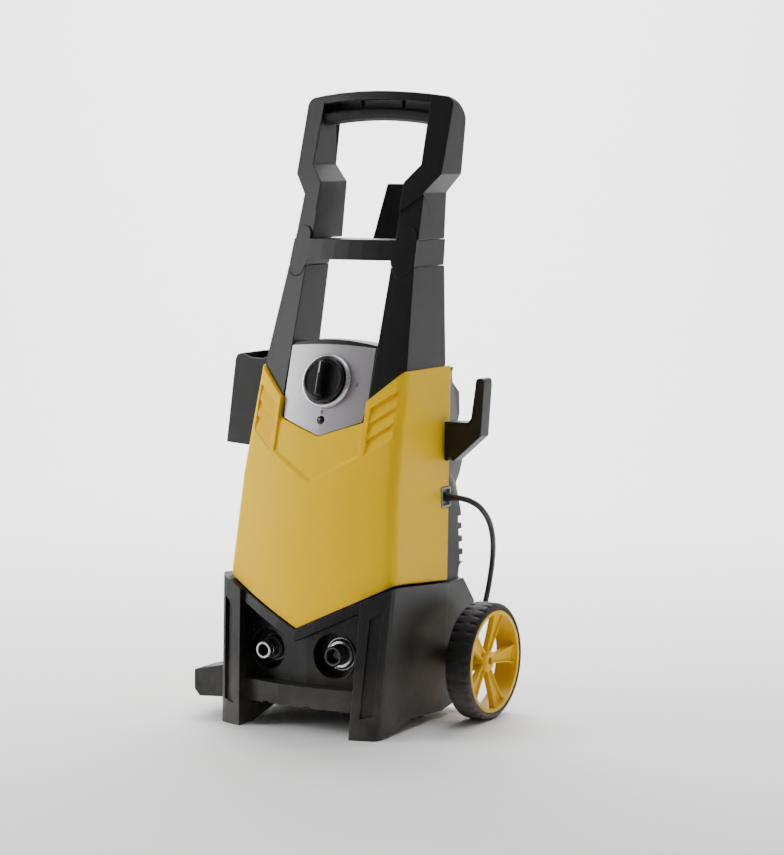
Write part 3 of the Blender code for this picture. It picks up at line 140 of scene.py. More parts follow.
def wearGroup():
    group, source, result = newGroup(
        "wearAndDust",
        [("Vector", "NodeSocketVector", None), ("Amount", "NodeSocketFloat", 0.3),
         ("Floor Height", "NodeSocketFloat", 0.10)],
        [("Patches", "NodeSocketFloat"), ("Dust", "NodeSocketFloat")])
    add, link = group.nodes.new, group.links.new
    blotch = add("ShaderNodeTexNoise")
    blotch.inputs["Scale"].default_value = wearLook["scale"]
    blotch.inputs["Detail"].default_value = wearLook["detail"]
    blotch.inputs["Roughness"].default_value = wearLook["roughness"]
    link(source.outputs["Vector"], blotch.inputs["Vector"])
    spread = add("ShaderNodeMapRange")
    spread.inputs["From Min"].default_value = wearLook["start"]
    spread.inputs["From Max"].default_value = wearLook["end"]
    link(blotch.outputs["Fac"], spread.inputs["Value"])
    strength = add("ShaderNodeMath")
    strength.operation = "MULTIPLY"
    link(spread.outputs["Result"], strength.inputs[0])
    link(source.outputs["Amount"], strength.inputs[1])
    link(strength.outputs["Value"], result.inputs["Patches"])
    place = add("ShaderNodeSeparateXYZ")
    link(source.outputs["Vector"], place.inputs["Vector"])
    low = add("ShaderNodeMapRange")
    low.inputs["From Max"].default_value = 0.0
    link(source.outputs["Floor Height"], low.inputs["From Min"])
    link(place.outputs["Z"], low.inputs["Value"])
    speck = add("ShaderNodeMath")
    speck.operation = "MULTIPLY"
    link(low.outputs["Result"], speck.inputs[0])
    link(strength.outputs["Value"], speck.inputs[1])
    link(speck.outputs["Value"], result.inputs["Dust"])
    return group


grainGroup = mouldedGrainGroup()
dustGroup = wearGroup()
common = {"dust": (0.30, 0.27, 0.23), "edge": 0.0004, "edgeSamples": 6, "specular": 0.5, "grainLow": 0.3,
          "grainHigh": 0.7}


def moulded(name, look):
    material = bpy.data.materials.new(name)
    material.use_nodes = True
    tree = material.node_tree
    add, link = tree.nodes.new, tree.links.new
    shader = tree.nodes["Principled BSDF"]
    where = add("ShaderNodeTexCoord")
    grain = add("ShaderNodeGroup")
    grain.node_tree = grainGroup
    grain.inputs["Scale"].default_value = look["grainScale"]
    grain.inputs["Height"].default_value = look["grainHeight"]
    grain.inputs["Waviness"].default_value = look["waviness"]
    wear = add("ShaderNodeGroup")
    wear.node_tree = dustGroup
    wear.inputs["Amount"].default_value = look["wear"]
    edge = add("ShaderNodeBevel")
    edge.samples = common["edgeSamples"]
    edge.inputs["Radius"].default_value = look.get("edge", common["edge"])
    link(edge.outputs["Normal"], grain.inputs["Normal"])
    link(where.outputs["Object"], grain.inputs["Vector"])
    link(where.outputs["Object"], wear.inputs["Vector"])
    tone = add("ShaderNodeMix")
    tone.data_type = "RGBA"
    tone.inputs["A"].default_value = (*look["colour"], 1.0)
    tone.inputs["B"].default_value = (*look["patchColour"], 1.0)
    link(wear.outputs["Patches"], tone.inputs["Factor"])
    dusty = add("ShaderNodeMix")
    dusty.data_type = "RGBA"
    dusty.inputs["B"].default_value = (*common["dust"], 1.0)
    link(wear.outputs["Dust"], dusty.inputs["Factor"])
    link(tone.outputs["Result"], dusty.inputs["A"])
    link(dusty.outputs["Result"], shader.inputs["Base Color"])
    rough = add("ShaderNodeMapRange")
    rough.inputs["From Min"].default_value = common["grainLow"]
    rough.inputs["From Max"].default_value = common["grainHigh"]
    rough.inputs["To Min"].default_value = look["roughness"] - look["roughSpread"]
    rough.inputs["To Max"].default_value = look["roughness"] + look["roughSpread"]
    link(grain.outputs["Grain"], rough.inputs["Value"])
    link(rough.outputs["Result"], shader.inputs["Roughness"])
    link(grain.outputs["Normal"], shader.inputs["Normal"])
    shader.inputs["Metallic"].default_value = look.get("metallic", 0.0)
    shader.inputs["Specular IOR Level"].default_value = look.get("specular", common["specular"])
    return material


finishes = {
    "cover_yellow": {"colour": (0.93, 0.57, 0.0), "patchColour": (0.90, 0.54, 0.0), "roughness": 0.38,
                     "roughSpread": 0.03, "grainScale": 1500.0, "grainHeight": 0.05, "waviness": 0.012,
                     "wear": 0.18, "specular": 0.07, "edge": 0.0009},
    "rim_yellow": {"colour": (0.86, 0.52, 0.0), "patchColour": (0.80, 0.46, 0.0), "roughness": 0.42,
                   "roughSpread": 0.05, "grainScale": 1200.0, "grainHeight": 0.10, "waviness": 0.02,
                   "wear": 0.3, "specular": 0.15},
    "body_black": {"colour": (0.0075, 0.0075, 0.0076), "patchColour": (0.0105, 0.0105, 0.0103),
                   "roughness": 0.43, "roughSpread": 0.07, "grainScale": 1700.0, "grainHeight": 0.30,
                   "waviness": 0.02, "wear": 0.35, "specular": 0.30, "edge": 0.0013},
    "grip_black": {"colour": (0.009, 0.009, 0.0095), "patchColour": (0.013, 0.013, 0.013),
                   "roughness": 0.60, "roughSpread": 0.06, "grainScale": 1300.0, "grainHeight": 0.45,
                   "waviness": 0.02, "wear": 0.4, "specular": 0.30},
    "panel_silver": {"colour": (0.36, 0.345, 0.365), "patchColour": (0.33, 0.315, 0.335),
                     "roughness": 0.38, "roughSpread": 0.05, "grainScale": 2200.0, "grainHeight": 0.10,
                     "waviness": 0.01, "wear": 0.2, "metallic": 0.55},
    "bezel_chrome": {"colour": (0.62, 0.61, 0.62), "patchColour": (0.56, 0.55, 0.56), "roughness": 0.27,
                     "roughSpread": 0.04, "grainScale": 900.0, "grainHeight": 0.02, "waviness": 0.0,
                     "wear": 0.2, "metallic": 0.7},
    "knob_black": {"colour": (0.006, 0.006, 0.0065), "patchColour": (0.016, 0.016, 0.016),
                   "roughness": 0.24, "roughSpread": 0.04, "grainScale": 1400.0, "grainHeight": 0.05,
                   "waviness": 0.01, "wear": 0.3, "specular": 0.4},
    "lamp_dark": {"colour": (0.012, 0.004, 0.005), "patchColour": (0.010, 0.004, 0.004),
                  "roughness": 0.18, "roughSpread": 0.02, "grainScale": 900.0, "grainHeight": 0.02,
                  "waviness": 0.0, "wear": 0.1, "specular": 0.4},
    "tyre_rubber": {"colour": (0.0095, 0.0095, 0.0095), "patchColour": (0.017, 0.0165, 0.016),
                    "roughness": 0.66, "roughSpread": 0.08, "grainScale": 1100.0, "grainHeight": 0.5,
                    "waviness": 0.03, "wear": 0.6, "specular": 0.34},
    "fitting_metal": {"colour": (0.56, 0.56, 0.57), "patchColour": (0.44, 0.44, 0.45), "roughness": 0.27,
                      "roughSpread": 0.06, "grainScale": 1500.0, "grainHeight": 0.08, "waviness": 0.0,
                      "wear": 0.4, "metallic": 1.0},
    "fitting_plastic": {"colour": (0.030, 0.030, 0.031), "patchColour": (0.040, 0.040, 0.040),
                        "roughness": 0.45, "roughSpread": 0.06, "grainScale": 1400.0, "grainHeight": 0.2,
                        "waviness": 0.0, "wear": 0.3},
    "gland_grey": {"colour": (0.29, 0.29, 0.27), "patchColour": (0.24, 0.24, 0.23), "roughness": 0.48,
                   "roughSpread": 0.05, "grainScale": 1400.0, "grainHeight": 0.2, "waviness": 0.0,
                   "wear": 0.3},
    "cord_rubber": {"colour": (0.014, 0.014, 0.015), "patchColour": (0.022, 0.022, 0.022),
                    "roughness": 0.5, "roughSpread": 0.06, "grainScale": 1300.0, "grainHeight": 0.2,
                    "waviness": 0.02, "wear": 0.4},
    "steel": {"colour": (0.50, 0.50, 0.51), "patchColour": (0.36, 0.35, 0.34), "roughness": 0.32,
              "roughSpread": 0.08, "grainScale": 800.0, "grainHeight": 0.1, "waviness": 0.0, "wear": 0.4,
              "metallic": 1.0},
    "laminate": {"colour": (0.24, 0.24, 0.26), "patchColour": (0.18, 0.17, 0.17), "roughness": 0.5,
                 "roughSpread": 0.1, "grainScale": 600.0, "grainHeight": 0.3, "waviness": 0.0,
                 "wear": 0.5, "metallic": 0.8},
    "aluminium": {"colour": (0.60, 0.60, 0.61), "patchColour": (0.48, 0.48, 0.48), "roughness": 0.46,
                  "roughSpread": 0.08, "grainScale": 500.0, "grainHeight": 0.5, "waviness": 0.02,
                  "wear": 0.5, "metallic": 0.95},
    "brass": {"colour": (0.62, 0.45, 0.18), "patchColour": (0.50, 0.34, 0.13), "roughness": 0.3,
              "roughSpread": 0.06, "grainScale": 900.0, "grainHeight": 0.1, "waviness": 0.0, "wear": 0.4,
              "metallic": 1.0},
    "fan_plastic": {"colour": (0.095, 0.095, 0.10), "patchColour": (0.12, 0.12, 0.12), "roughness": 0.5,
                    "roughSpread": 0.06, "grainScale": 1000.0, "grainHeight": 0.2, "waviness": 0.0,
                    "wear": 0.4},
    "switch_grey": {"colour": (0.15, 0.15, 0.16), "patchColour": (0.19, 0.19, 0.19), "roughness": 0.48,
                    "roughSpread": 0.05, "grainScale": 1000.0, "grainHeight": 0.2, "waviness": 0.0,
                    "wear": 0.3},
    # the filter sits deep inside the inlet tube; its dark grey is painted shade standing in for the shadowed
    # inside of the tube
    "filter_mesh": {"colour": (0.085, 0.085, 0.085), "patchColour": (0.06, 0.06, 0.06), "roughness": 0.6,
                    "roughSpread": 0.05, "grainScale": 2600.0, "grainHeight": 0.8, "waviness": 0.0,
                    "wear": 0.3},
}
materials = {slot: moulded(slot, look) for slot, look in finishes.items()}
print("materials:", len(materials))


def dress(piece, slot):
    piece.data.materials.clear()
    piece.data.materials.append(materials[slot])


def settle(piece, slot, body, replaced=()):
    dress(piece, slot)
    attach(piece, body)
    if replaced:
        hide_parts(*replaced)
    return piece


smoothAngle = {"node": 28, "moulding": 30, "turned": 35}
for name, node in nodes.items():
    dress(node, slotOf[name])
    pick(node)
    bpy.ops.object.shade_smooth_by_angle(angle=math.radians(smoothAngle["node"]))
clearSelection()

# mouldings whose corners are rounded over
corner = {"segments": 2, "flat": 0.3, "sharp": 26, "weld": 0.00002, "stray": 0.5}
cornerWidths = {"handle_frame": 0.0008, "arm_left": 0.0009, "arm_right": 0.0009, "rear_casing": 0.0009,
                "gun_holster": 0.0016, "lance_cup": 0.0010, "cable_hook": 0.0012, "hose_hook": 0.0012,
                "panel_cap": 0.0008, "front_cover": 0.0005, "control_panel": 0.0005, "cord_gland": 0.0004,
                "power_switch": 0.0012, "cord_tie": 0.0004, "pump_head": 0.0020}


def evenShading(piece, angle):
    pick(piece)
    bpy.ops.object.shade_smooth_by_angle(angle=math.radians(angle))
    weighting = piece.modifiers.new("weighting", "WEIGHTED_NORMAL")
    weighting.keep_sharp = True
    bpy.ops.object.modifier_apply(modifier="weighting")


def softCorners(name, width):
    node = nodes[name]
    piece = node.copy()
    piece.data = node.data.copy()
    piece.name = name + "Moulding"
    bpy.context.scene.collection.objects.link(piece)
    piece.parent = None
    piece.matrix_world = Matrix.Identity(4)
    pick(piece)
    bpy.ops.object.mode_set(mode="EDIT")
    bpy.ops.mesh.select_all(action="SELECT")
    bpy.ops.mesh.remove_doubles(threshold=corner["weld"])
    bpy.ops.mesh.dissolve_limited(angle_limit=math.radians(corner["flat"]))
    bpy.ops.object.mode_set(mode="OBJECT")
    rounding = piece.modifiers.new("rounding", "BEVEL")
    rounding.width = width
    rounding.segments = corner["segments"]
    rounding.limit_method = "ANGLE"
    rounding.angle_limit = math.radians(corner["sharp"])
    rounding.use_clamp_overlap = False
    rounding.miter_outer = "MITER_ARC"
    bpy.ops.object.modifier_apply(modifier="rounding")
    for vertex in piece.data.vertices:
        found, where = node.closest_point_on_mesh(vertex.co)[:2]
        if found and (where - vertex.co).length > corner["stray"] * width:
            vertex.co = where  # a rounding that ran away goes back to the surface
    evenShading(piece, smoothAngle["moulding"])
    return settle(piece, slotOf[name], bodyOf[name], [name])


for name, width in cornerWidths.items():
    softCorners(name, width)
print("mouldings:", len(cornerWidths))


# round pieces are turned from a half outline
def turnedPiece(name, outline, place, way, steps=64, closed=False):
    mesh = bpy.data.meshes.new(name)
    corners = [(radius, 0.0, height) for radius, height in outline]
    edges = [(i, i + 1) for i in range(len(corners) - 1)]
    if closed:
        edges.append((len(corners) - 1, 0))
    mesh.from_pydata(corners, edges, [])
    piece = bpy.data.objects.new(name, mesh)
    bpy.context.scene.collection.objects.link(piece)
    pick(piece)
    bpy.ops.object.mode_set(mode="EDIT")
    bpy.ops.mesh.select_mode(type="VERT")
    bpy.ops.mesh.select_all(action="SELECT")
    bpy.ops.mesh.spin(steps=steps, angle=math.tau, center=(0, 0, 0), axis=(0, 0, 1))
    bpy.ops.mesh.select_all(action="SELECT")
    bpy.ops.mesh.remove_doubles(threshold=0.00001)
    bpy.ops.mesh.normals_make_consistent(inside=False)
    bpy.ops.object.mode_set(mode="OBJECT")
    turn = Vector((0, 0, 1)).rotation_difference(Vector(way).normalized())
    mesh.transform(Matrix.Translation(place) @ turn.to_matrix().to_4x4())
    bpy.ops.object.shade_smooth_by_angle(angle=math.radians(smoothAngle["turned"]))
    return piece


def selectFaces(piece, wanted):
    pick(piece)
    bpy.ops.object.mode_set(mode="EDIT")
    bpy.ops.mesh.select_all(action="DESELECT")
    bpy.ops.mesh.select_mode(type="FACE")
    bpy.ops.object.mode_set(mode="OBJECT")
    for face in piece.data.polygons:
        face.select = wanted(face)
    bpy.ops.object.mode_set(mode="EDIT")


def middleOf(name):
    low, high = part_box(name)
    return (low + high) / 2


# wheels
tyre = {"steps": 144, "blockSteps": 4, "grooveDepth": 0.0009, "grooveEdge": 0.0003, "grooveRadius": 0.0775,
        "grooveFrom": 0.0125, "grooveTo": 0.0020}
rim = {"spokes": 5, "spokeThick": 0.0085, "grooveInset": 0.0024, "grooveDepth": 0.0034, "turn": 18,
       "spokeBack": 0.0210, "spokeStart": 0.0105, "spokeLean": 0.13, "edge": 0.0006, "edgeAngle": 40}


def tyrePiece(word, side):
    centre = middleOf(f"tyre_{word}")
    low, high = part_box(f"tyre_{word}")
    half = (high.x - low.x) / 2
    radius = (high.z - low.z) / 2
    outline = [(0.0711, half - 0.0012), (0.0718, half - 0.0004), (0.0735, half), (0.0752, half - 0.0002),
               (0.0772, half - 0.0016), (radius - 0.0006, half - 0.0040), (radius, half - 0.0075),
               (radius, half - 0.0120), (radius, 0.0), (radius, 0.0120 - half), (radius, 0.0075 - half),
               (radius - 0.0006, 0.0040 - half), (0.0772, 0.0016 - half), (0.0752, 0.0002 - half),
               (0.0735, -half), (0.0718, 0.0004 - half), (0.0711, 0.0012 - half)]
    piece = turnedPiece(f"tyre{word.title()}Tread", outline, centre, (side, 0, 0), tyre["steps"], True)

    def shoulder(face):
        spot = face.center - centre
        away = math.hypot(spot.y, spot.z)
        step = math.floor((math.atan2(spot.z, spot.y) + math.pi) / math.tau * tyre["steps"])
        across = half - tyre["grooveFrom"] < abs(spot.x) < half - tyre["grooveTo"]
        outer = away > tyre["grooveRadius"] and across
        return outer and step % tyre["blockSteps"] == 0

    selectFaces(piece, shoulder)
    bpy.ops.mesh.inset(thickness=tyre["grooveEdge"], depth=-tyre["grooveDepth"], use_individual=False)
    bpy.ops.object.mode_set(mode="OBJECT")
    return settle(piece, "tyre_rubber", bodyOf[f"tyre_{word}"], [f"tyre_{word}"])


def spokePiece(half):
    outline = [(rim["spokeStart"], 0.0064), (0.0240, 0.0070), (0.0400, 0.0088), (0.0530, 0.0108),
               (0.0620, 0.0130), (0.0672, 0.0165)]
    outline = outline + [(x, -y) for x, y in reversed(outline)]
    mesh = bpy.data.meshes.new("spoke")
    base = half - rim["spokeBack"]
    corners = [(x, y, base + (x - rim["spokeStart"]) * rim["spokeLean"]) for x, y in outline]
    mesh.from_pydata(corners, [], [list(range(len(corners)))])
    piece = bpy.data.objects.new("spoke", mesh)
    bpy.context.scene.collection.objects.link(piece)
    pick(piece)
    bpy.ops.object.mode_set(mode="EDIT")
    bpy.ops.mesh.select_all(action="SELECT")
    bpy.ops.mesh.extrude_region_move(TRANSFORM_OT_translate={"value": (0, 0, rim["spokeThick"])})
    bpy.ops.mesh.inset(thickness=rim["grooveInset"], depth=0)
    bpy.ops.mesh.extrude_region_move(TRANSFORM_OT_translate={"value": (0, 0, -rim["grooveDepth"])})
    bpy.ops.mesh.select_all(action="SELECT")
    bpy.ops.mesh.normals_make_consistent(inside=False)
    bpy.ops.object.mode_set(mode="OBJECT")
    rounding = piece.modifiers.new("rounding", "BEVEL")
    rounding.width = rim["edge"]
    rounding.segments = 2
    rounding.limit_method = "ANGLE"
    rounding.angle_limit = math.radians(rim["edgeAngle"])
    bpy.ops.object.modifier_apply(modifier="rounding")
    return piece


def rimPiece(word, side):
    centre = middleOf(f"rim_{word}")
    centre.x = middleOf(f"tyre_{word}").x
    low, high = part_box(f"tyre_{word}")
    half = (high.x - low.x) / 2
    band = turnedPiece(f"rim{word.title()}Band", [
        (0.0652, half - 0.0012), (0.0658, half - 0.0006), (0.0700, half - 0.0006), (0.0704, half - 0.0012),
        (0.0704, 0.0019 - half), (0.0700, 0.0015 - half), (0.0684, 0.0015 - half), (0.0680, 0.0019 - half),
        (0.0664, half - 0.0078)], (0, 0, 0), (0, 0, 1), 96, True)
    hub = turnedPiece("hub", [
        (0.0055, half - 0.0145), (0.0058, half - 0.0085), (0.0088, half - 0.0078), (0.0108, half - 0.0080),
        (0.0140, half - 0.0100), (0.0152, half - 0.0122), (0.0160, 0.0035 - half), (0.0150, 0.0030 - half),
        (0.0055, 0.0030 - half)], (0, 0, 0), (0, 0, 1), 64, True)
    spokes = []
    for index in range(rim["spokes"]):
        spoke = spokePiece(half)
        angle = math.radians(rim["turn"] + 360 / rim["spokes"] * index)
        spoke.data.transform(Matrix.Rotation(angle, 4, "Z"))
        spokes.append(spoke)
    pick(band)
    for item in [hub] + spokes:
        item.select_set(True)
    bpy.ops.object.join()
    turn = Vector((0, 0, 1)).rotation_difference(Vector((side, 0, 0)))
    band.data.transform(Matrix.Translation(centre) @ turn.to_matrix().to_4x4())
    bpy.ops.object.shade_smooth_by_angle(angle=math.radians(smoothAngle["turned"]))
    return settle(band, "rim_yellow", bodyOf[f"rim_{word}"], [f"rim_{word}"])


for word, side in (("left", -1), ("right", 1)):
    tyrePiece(word, side)
    rimPiece(word, side)
print("wheels: two")

# control knob, its ring and the marks beside it
panel = {"lean": 0.297, "bulge": 1.34, "markThick": 0.00015, "markLift": 0.0002, "markSize": 0.0075}
outward = Vector((0, -1, panel["lean"])).normalized()
knobCentre = Vector((0, -0.0588, 0.4661))
knobShape = {"gripLength": 0.0500, "gripWidth": 0.0118, "gripHigh": 0.0222, "gripLow": 0.0085,
             "taper": (0.60, 0.93, 1.0), "edge": 0.0024, "edgeSegments": 4,
             "pointer": (0.0012, 0.0150, 0.0006), "pointerAway": 0.0145, "pointerLift": 0.0001}
knobTurn = Vector((0, 0, 1)).rotation_difference(outward).to_matrix().to_4x4()

knob = turnedPiece("knobDial", [
    (0.0, 0.0090), (0.0262, 0.0090), (0.0266, 0.0093), (0.0272, 0.0104), (0.0280, 0.0110), (0.0292, 0.0110),
    (0.0302, 0.0106), (0.0309, 0.0097), (0.0313, 0.0084), (0.0313, 0.0016), (0.0309, 0.0012), (0.0, 0.0012)],
    knobCentre, outward, 96)
bpy.ops.mesh.primitive_cube_add(size=1.0)
grip = bpy.context.object
grip.scale = (knobShape["gripWidth"], knobShape["gripLength"], knobShape["gripHigh"] - knobShape["gripLow"])
grip.location = (0, 0, (knobShape["gripHigh"] + knobShape["gripLow"]) / 2)
bpy.ops.object.transform_apply(location=True, rotation=True, scale=True)
selectFaces(grip, lambda face: face.normal.z > 0.9)
bpy.ops.transform.resize(value=knobShape["taper"])
bpy.ops.object.mode_set(mode="OBJECT")
rounding = grip.modifiers.new("rounding", "BEVEL")
rounding.width = knobShape["edge"]
rounding.segments = knobShape["edgeSegments"]
bpy.ops.object.modifier_apply(modifier="rounding")
grip.data.transform(Matrix.Translation(knobCentre) @ knobTurn)
pick(knob)
grip.select_set(True)
bpy.ops.object.join()
bpy.ops.object.shade_smooth_by_angle(angle=math.radians(smoothAngle["turned"]))
settle(knob, "knob_black", bodyOf["knob"], ["knob"])

bpy.ops.mesh.primitive_cube_add(size=1.0)
pointer = bpy.context.object
pointer.name = "knobPointer"
pointer.scale = knobShape["pointer"]
pointer.location = (0, knobShape["pointerAway"], knobShape["gripHigh"] + knobShape["pointerLift"])
bpy.ops.object.transform_apply(location=True, rotation=True, scale=True)
pointer.data.transform(Matrix.Translation(knobCentre) @ knobTurn)
settle(pointer, "bezel_chrome", bodyOf["knob"])

bezel = turnedPiece("bezelRing", [
    (0.0324, 0.0006), (0.0324, 0.0036), (0.0329, 0.0046), (0.0337, 0.0052), (0.0347, 0.0052),
    (0.0356, 0.0047), (0.0366, 0.0036), (0.0375, 0.0020), (0.0379, 0.0009), (0.0379, 0.0004),
    (0.0324, 0.0004)],
    knobCentre, outward, 96, True)
settle(bezel, "bezel_chrome", bodyOf["bezel_ring"], ["bezel_ring"])


def panelPoint(x, up, lift):
    spot = knobCentre + Vector((x, 0, 0)) + outward.cross(Vector((1, 0, 0))) * -up
    spot.y += panel["bulge"] * x * x
    return spot + outward * lift


def panelMark(name, letter, x, up):
    bpy.ops.object.text_add()
    mark = bpy.context.object
    mark.name = name
    mark.data.body = letter
    mark.data.size = panel["markSize"]
    mark.data.extrude = panel["markThick"]
    mark.data.align_x = "CENTER"
    mark.data.align_y = "CENTER"
    bpy.ops.object.convert(target="MESH")
    upright = Matrix.Rotation(math.pi / 2 - math.atan(panel["lean"]), 4, "X")
    mark.data.transform(Matrix.Translation(panelPoint(x, up, panel["markLift"])) @ upright)
    return settle(mark, "knob_black", bodyOf["control_panel"])


panelMark("markOff", "0", 0.0, 0.0430)
panelMark("markOn", "I", 0.0470, 0.0040)
print("panel: knob, ring and marks")


# water connections
def frontOf(name):
    low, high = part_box(name)
    return Vector(((low.x + high.x) / 2, low.y, (low.z + high.z) / 2))


outlet = turnedPiece("outletFitting", [
    (0.0080, 0.0008), (0.0088, 0.0), (0.0108, 0.0), (0.0118, 0.0010), (0.0118, 0.0060), (0.0112, 0.0066),
    (0.0112, 0.0084), (0.0118, 0.0090), (0.0118, 0.0200), (0.0097, 0.0206), (0.0097, 0.0549),
    (0.0080, 0.0549)],
    frontOf("outlet_fitting"), (0, 1, 0), 64, True)
settle(outlet, "fitting_metal", bodyOf["outlet_fitting"], ["outlet_fitting"])
thread = {"turns": 5, "first": 0.0018, "pitch": 0.0024, "root": 0.0132, "crest": 0.0138}
threads = []
for index in range(thread["turns"]):
    start = thread["first"] + thread["pitch"] * index
    threads = threads + [(thread["root"], start), (thread["crest"], start + thread["pitch"] / 4),
                         (thread["crest"], start + thread["pitch"] / 2),
                         (thread["root"], start + thread["pitch"] * 0.75)]
inlet = turnedPiece("inletFitting", [(0.0098, 0.0008), (0.0104, 0.0), (0.0126, 0.0)] + threads + [
    (0.0138, 0.0200), (0.0097, 0.0206), (0.0097, 0.0469), (0.0070, 0.0469), (0.0070, 0.0222),
    (0.0098, 0.0200)],
    frontOf("inlet_fitting"), (0, 1, 0), 64, True)
settle(inlet, "fitting_plastic", bodyOf["inlet_fitting"], ["inlet_fitting"])


collarRib = {"inset": 0.0002, "depth": 0.0005, "reach": 0.0006}


def ribbedCollar(name, node, inner, outer, slot, ribs):
    low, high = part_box(node)
    middle = (low + high) / 2
    depth = high.y - low.y
    piece = turnedPiece(name, [
        (inner, 0.0004), (inner + 0.0004, 0.0), (outer - 0.0016, 0.0), (outer, 0.0014), (outer, depth * 0.5),
        (outer, depth), (inner, depth)], frontOf(node), (0, 1, 0), ribs * 2, True)

    def outerFace(item):
        spot = item.center - middle
        step = math.floor((math.atan2(spot.z, spot.x) + math.pi) / math.tau * ribs * 2)
        onRim = math.hypot(spot.x, spot.z) > outer - collarRib["reach"]
        return onRim and abs(item.normal.y) < 0.3 and step % 2 == 0

    selectFaces(piece, outerFace)
    bpy.ops.mesh.inset(thickness=collarRib["inset"], depth=-collarRib["depth"], use_individual=False)
    bpy.ops.object.mode_set(mode="OBJECT")
    return settle(piece, slot, bodyOf[node], [node])


ribbedCollar("outletCollar", "outlet_collar", 0.0122, 0.0164, "fitting_plastic", 24)
ribbedCollar("inletCollar", "inlet_collar", 0.0142, 0.0195, "fitting_metal", 30)


def clipRing(name, node, radius, behind):
    middle = middleOf(node)
    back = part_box(node)[1].y
    ring = turnedPiece(name, [
        (radius, 0.0), (radius + 0.0006, -0.0004), (radius + 0.0014, -0.0004), (radius + 0.0018, 0.0),
        (radius + 0.0018, 0.0022), (radius, 0.0022)],
        Vector((middle.x, back + behind, middle.z)), (0, 1, 0), 56, True)
    return settle(ring, "fitting_metal", bodyOf[node])


clipRing("outletClipRing", "outlet_collar", 0.0168, -0.0030)
clipRing("inletClipRing", "inlet_collar", 0.0206, -0.0010)
print("water connections: two")

# mains cable at its real length
cable = {"radius": 0.004, "coilX": -0.055, "coilY": 0.235, "pitch": 0.0080, "innerTurn": 0.036,
         "lowLayer": 0.0056, "layers": 4, "perLayer": 4, "turns": 14.6, "pointsPerTurn": 30,
         "shift": 0.45, "climb": 0.2, "entryRadius": 0.0683, "floorHeight": 0.0043}
cableRoute = [
    Vector((0.1358, 0.0494, 0.3039)),
    Vector((0.1478, 0.0494, 0.3039)),
    Vector((0.1600, 0.0560, 0.2995)),
    Vector((0.1680, 0.0710, 0.2880)),
    Vector((0.1680, 0.0960, 0.2640)),
    Vector((0.1580, 0.1240, 0.2270)),
    Vector((0.1400, 0.1480, 0.1760)),
    Vector((0.1180, 0.1650, 0.1180)),
    Vector((0.0930, 0.1740, 0.0620)),
    Vector((0.0680, 0.1730, 0.0250)),
    Vector((0.0420, 0.1690, 0.0090)),
    Vector((0.0150, 0.1660, 0.0043)),
    Vector((-0.0150, 0.1655, 0.0043)),
    Vector((-0.0550, 0.1667, 0.0043)),
]


def smoothPath(route, each):
    ends = [2 * route[0] - route[1]] + route + [2 * route[-1] - route[-2]]
    path = []
    for i in range(1, len(ends) - 2):
        a, b, c, d = ends[i - 1:i + 3]
        for k in range(each):
            t = k / each
            path.append(0.5 * (2 * b + (c - a) * t + (2 * a - 5 * b + 4 * c - d) * t ** 2
                               + (3 * b - a - 3 * c + d) * t ** 3))
    return path + [route[-1]]


def eased(share):
    share = min(max(share, 0.0), 1.0)
    return share * share * (3 - 2 * share)


def coilPoint(reach, angle, height):
    x = cable["coilX"] + reach * math.cos(angle)
    y = cable["coilY"] + reach * math.sin(angle)
    return Vector((x, y, height))


def coilPath():
    outerTurn = cable["innerTurn"] + cable["pitch"] * (cable["perLayer"] - 1)
    each = cable["pointsPerTurn"]
    path = []
    for k in range(1, int(cable["turns"] * each) + 1):
        around = k / each
        turn = int(around)
        layer, rank = divmod(turn, cable["perLayer"])
        share = around - turn
        if layer % 2 == 0:
            radius = outerTurn - cable["pitch"] * rank
            before = radius + cable["pitch"] if rank > 0 else radius
        else:
            radius = cable["innerTurn"] + cable["pitch"] * rank
            before = radius - cable["pitch"] if rank > 0 else radius
        if turn == 0:
            before = cable["entryRadius"]
        reach = before + (radius - before) * eased(share / cable["shift"])
        height = cable["lowLayer"] + cable["pitch"] * layer
        if turn == 0:
            height = cable["floorHeight"] + (height - cable["floorHeight"]) * eased(share / cable["shift"])
        if rank == cable["perLayer"] - 1 and layer < cable["layers"] - 1:
            height += cable["pitch"] * eased((share - 1 + cable["climb"]) / cable["climb"])
        angle = math.radians(270) - math.tau * around
        path.append(coilPoint(reach, angle, height))
    return path


def leadOut():
    stops = [(0.0540, 236, 0.0298), (0.0585, 256, 0.0300), (0.0630, 276, 0.0298), (0.0670, 294, 0.0290),
             (0.0692, 312, 0.0266), (0.0694, 330, 0.0236), (0.0694, 348, 0.0212), (0.0696, 364, 0.0198),
             (0.0700, 380, 0.0195)]
    return [coilPoint(reach, math.radians(270 - turn), height) for reach, turn, height in stops]


coilPoints = coilPath()
lead = smoothPath([coilPoints[-1]] + leadOut(), 4)[1:]
cablePoints = smoothPath(cableRoute, 5) + coilPoints + lead
line = bpy.data.curves.new("mainsCable", "CURVE")
line.dimensions = "3D"
line.bevel_depth = cable["radius"]
line.bevel_resolution = 3
line.use_fill_caps = True
run = line.splines.new("POLY")
run.points.add(len(cablePoints) - 1)
for knot, point in zip(run.points, cablePoints):
    knot.co = (*point, 1.0)
run.use_smooth = True
mainsCable = bpy.data.objects.new("mainsCable", line)
bpy.context.scene.collection.objects.link(mainsCable)
settle(mainsCable, "cord_rubber", bodyOf["power_cord"], ["power_cord", "cord_coil"])

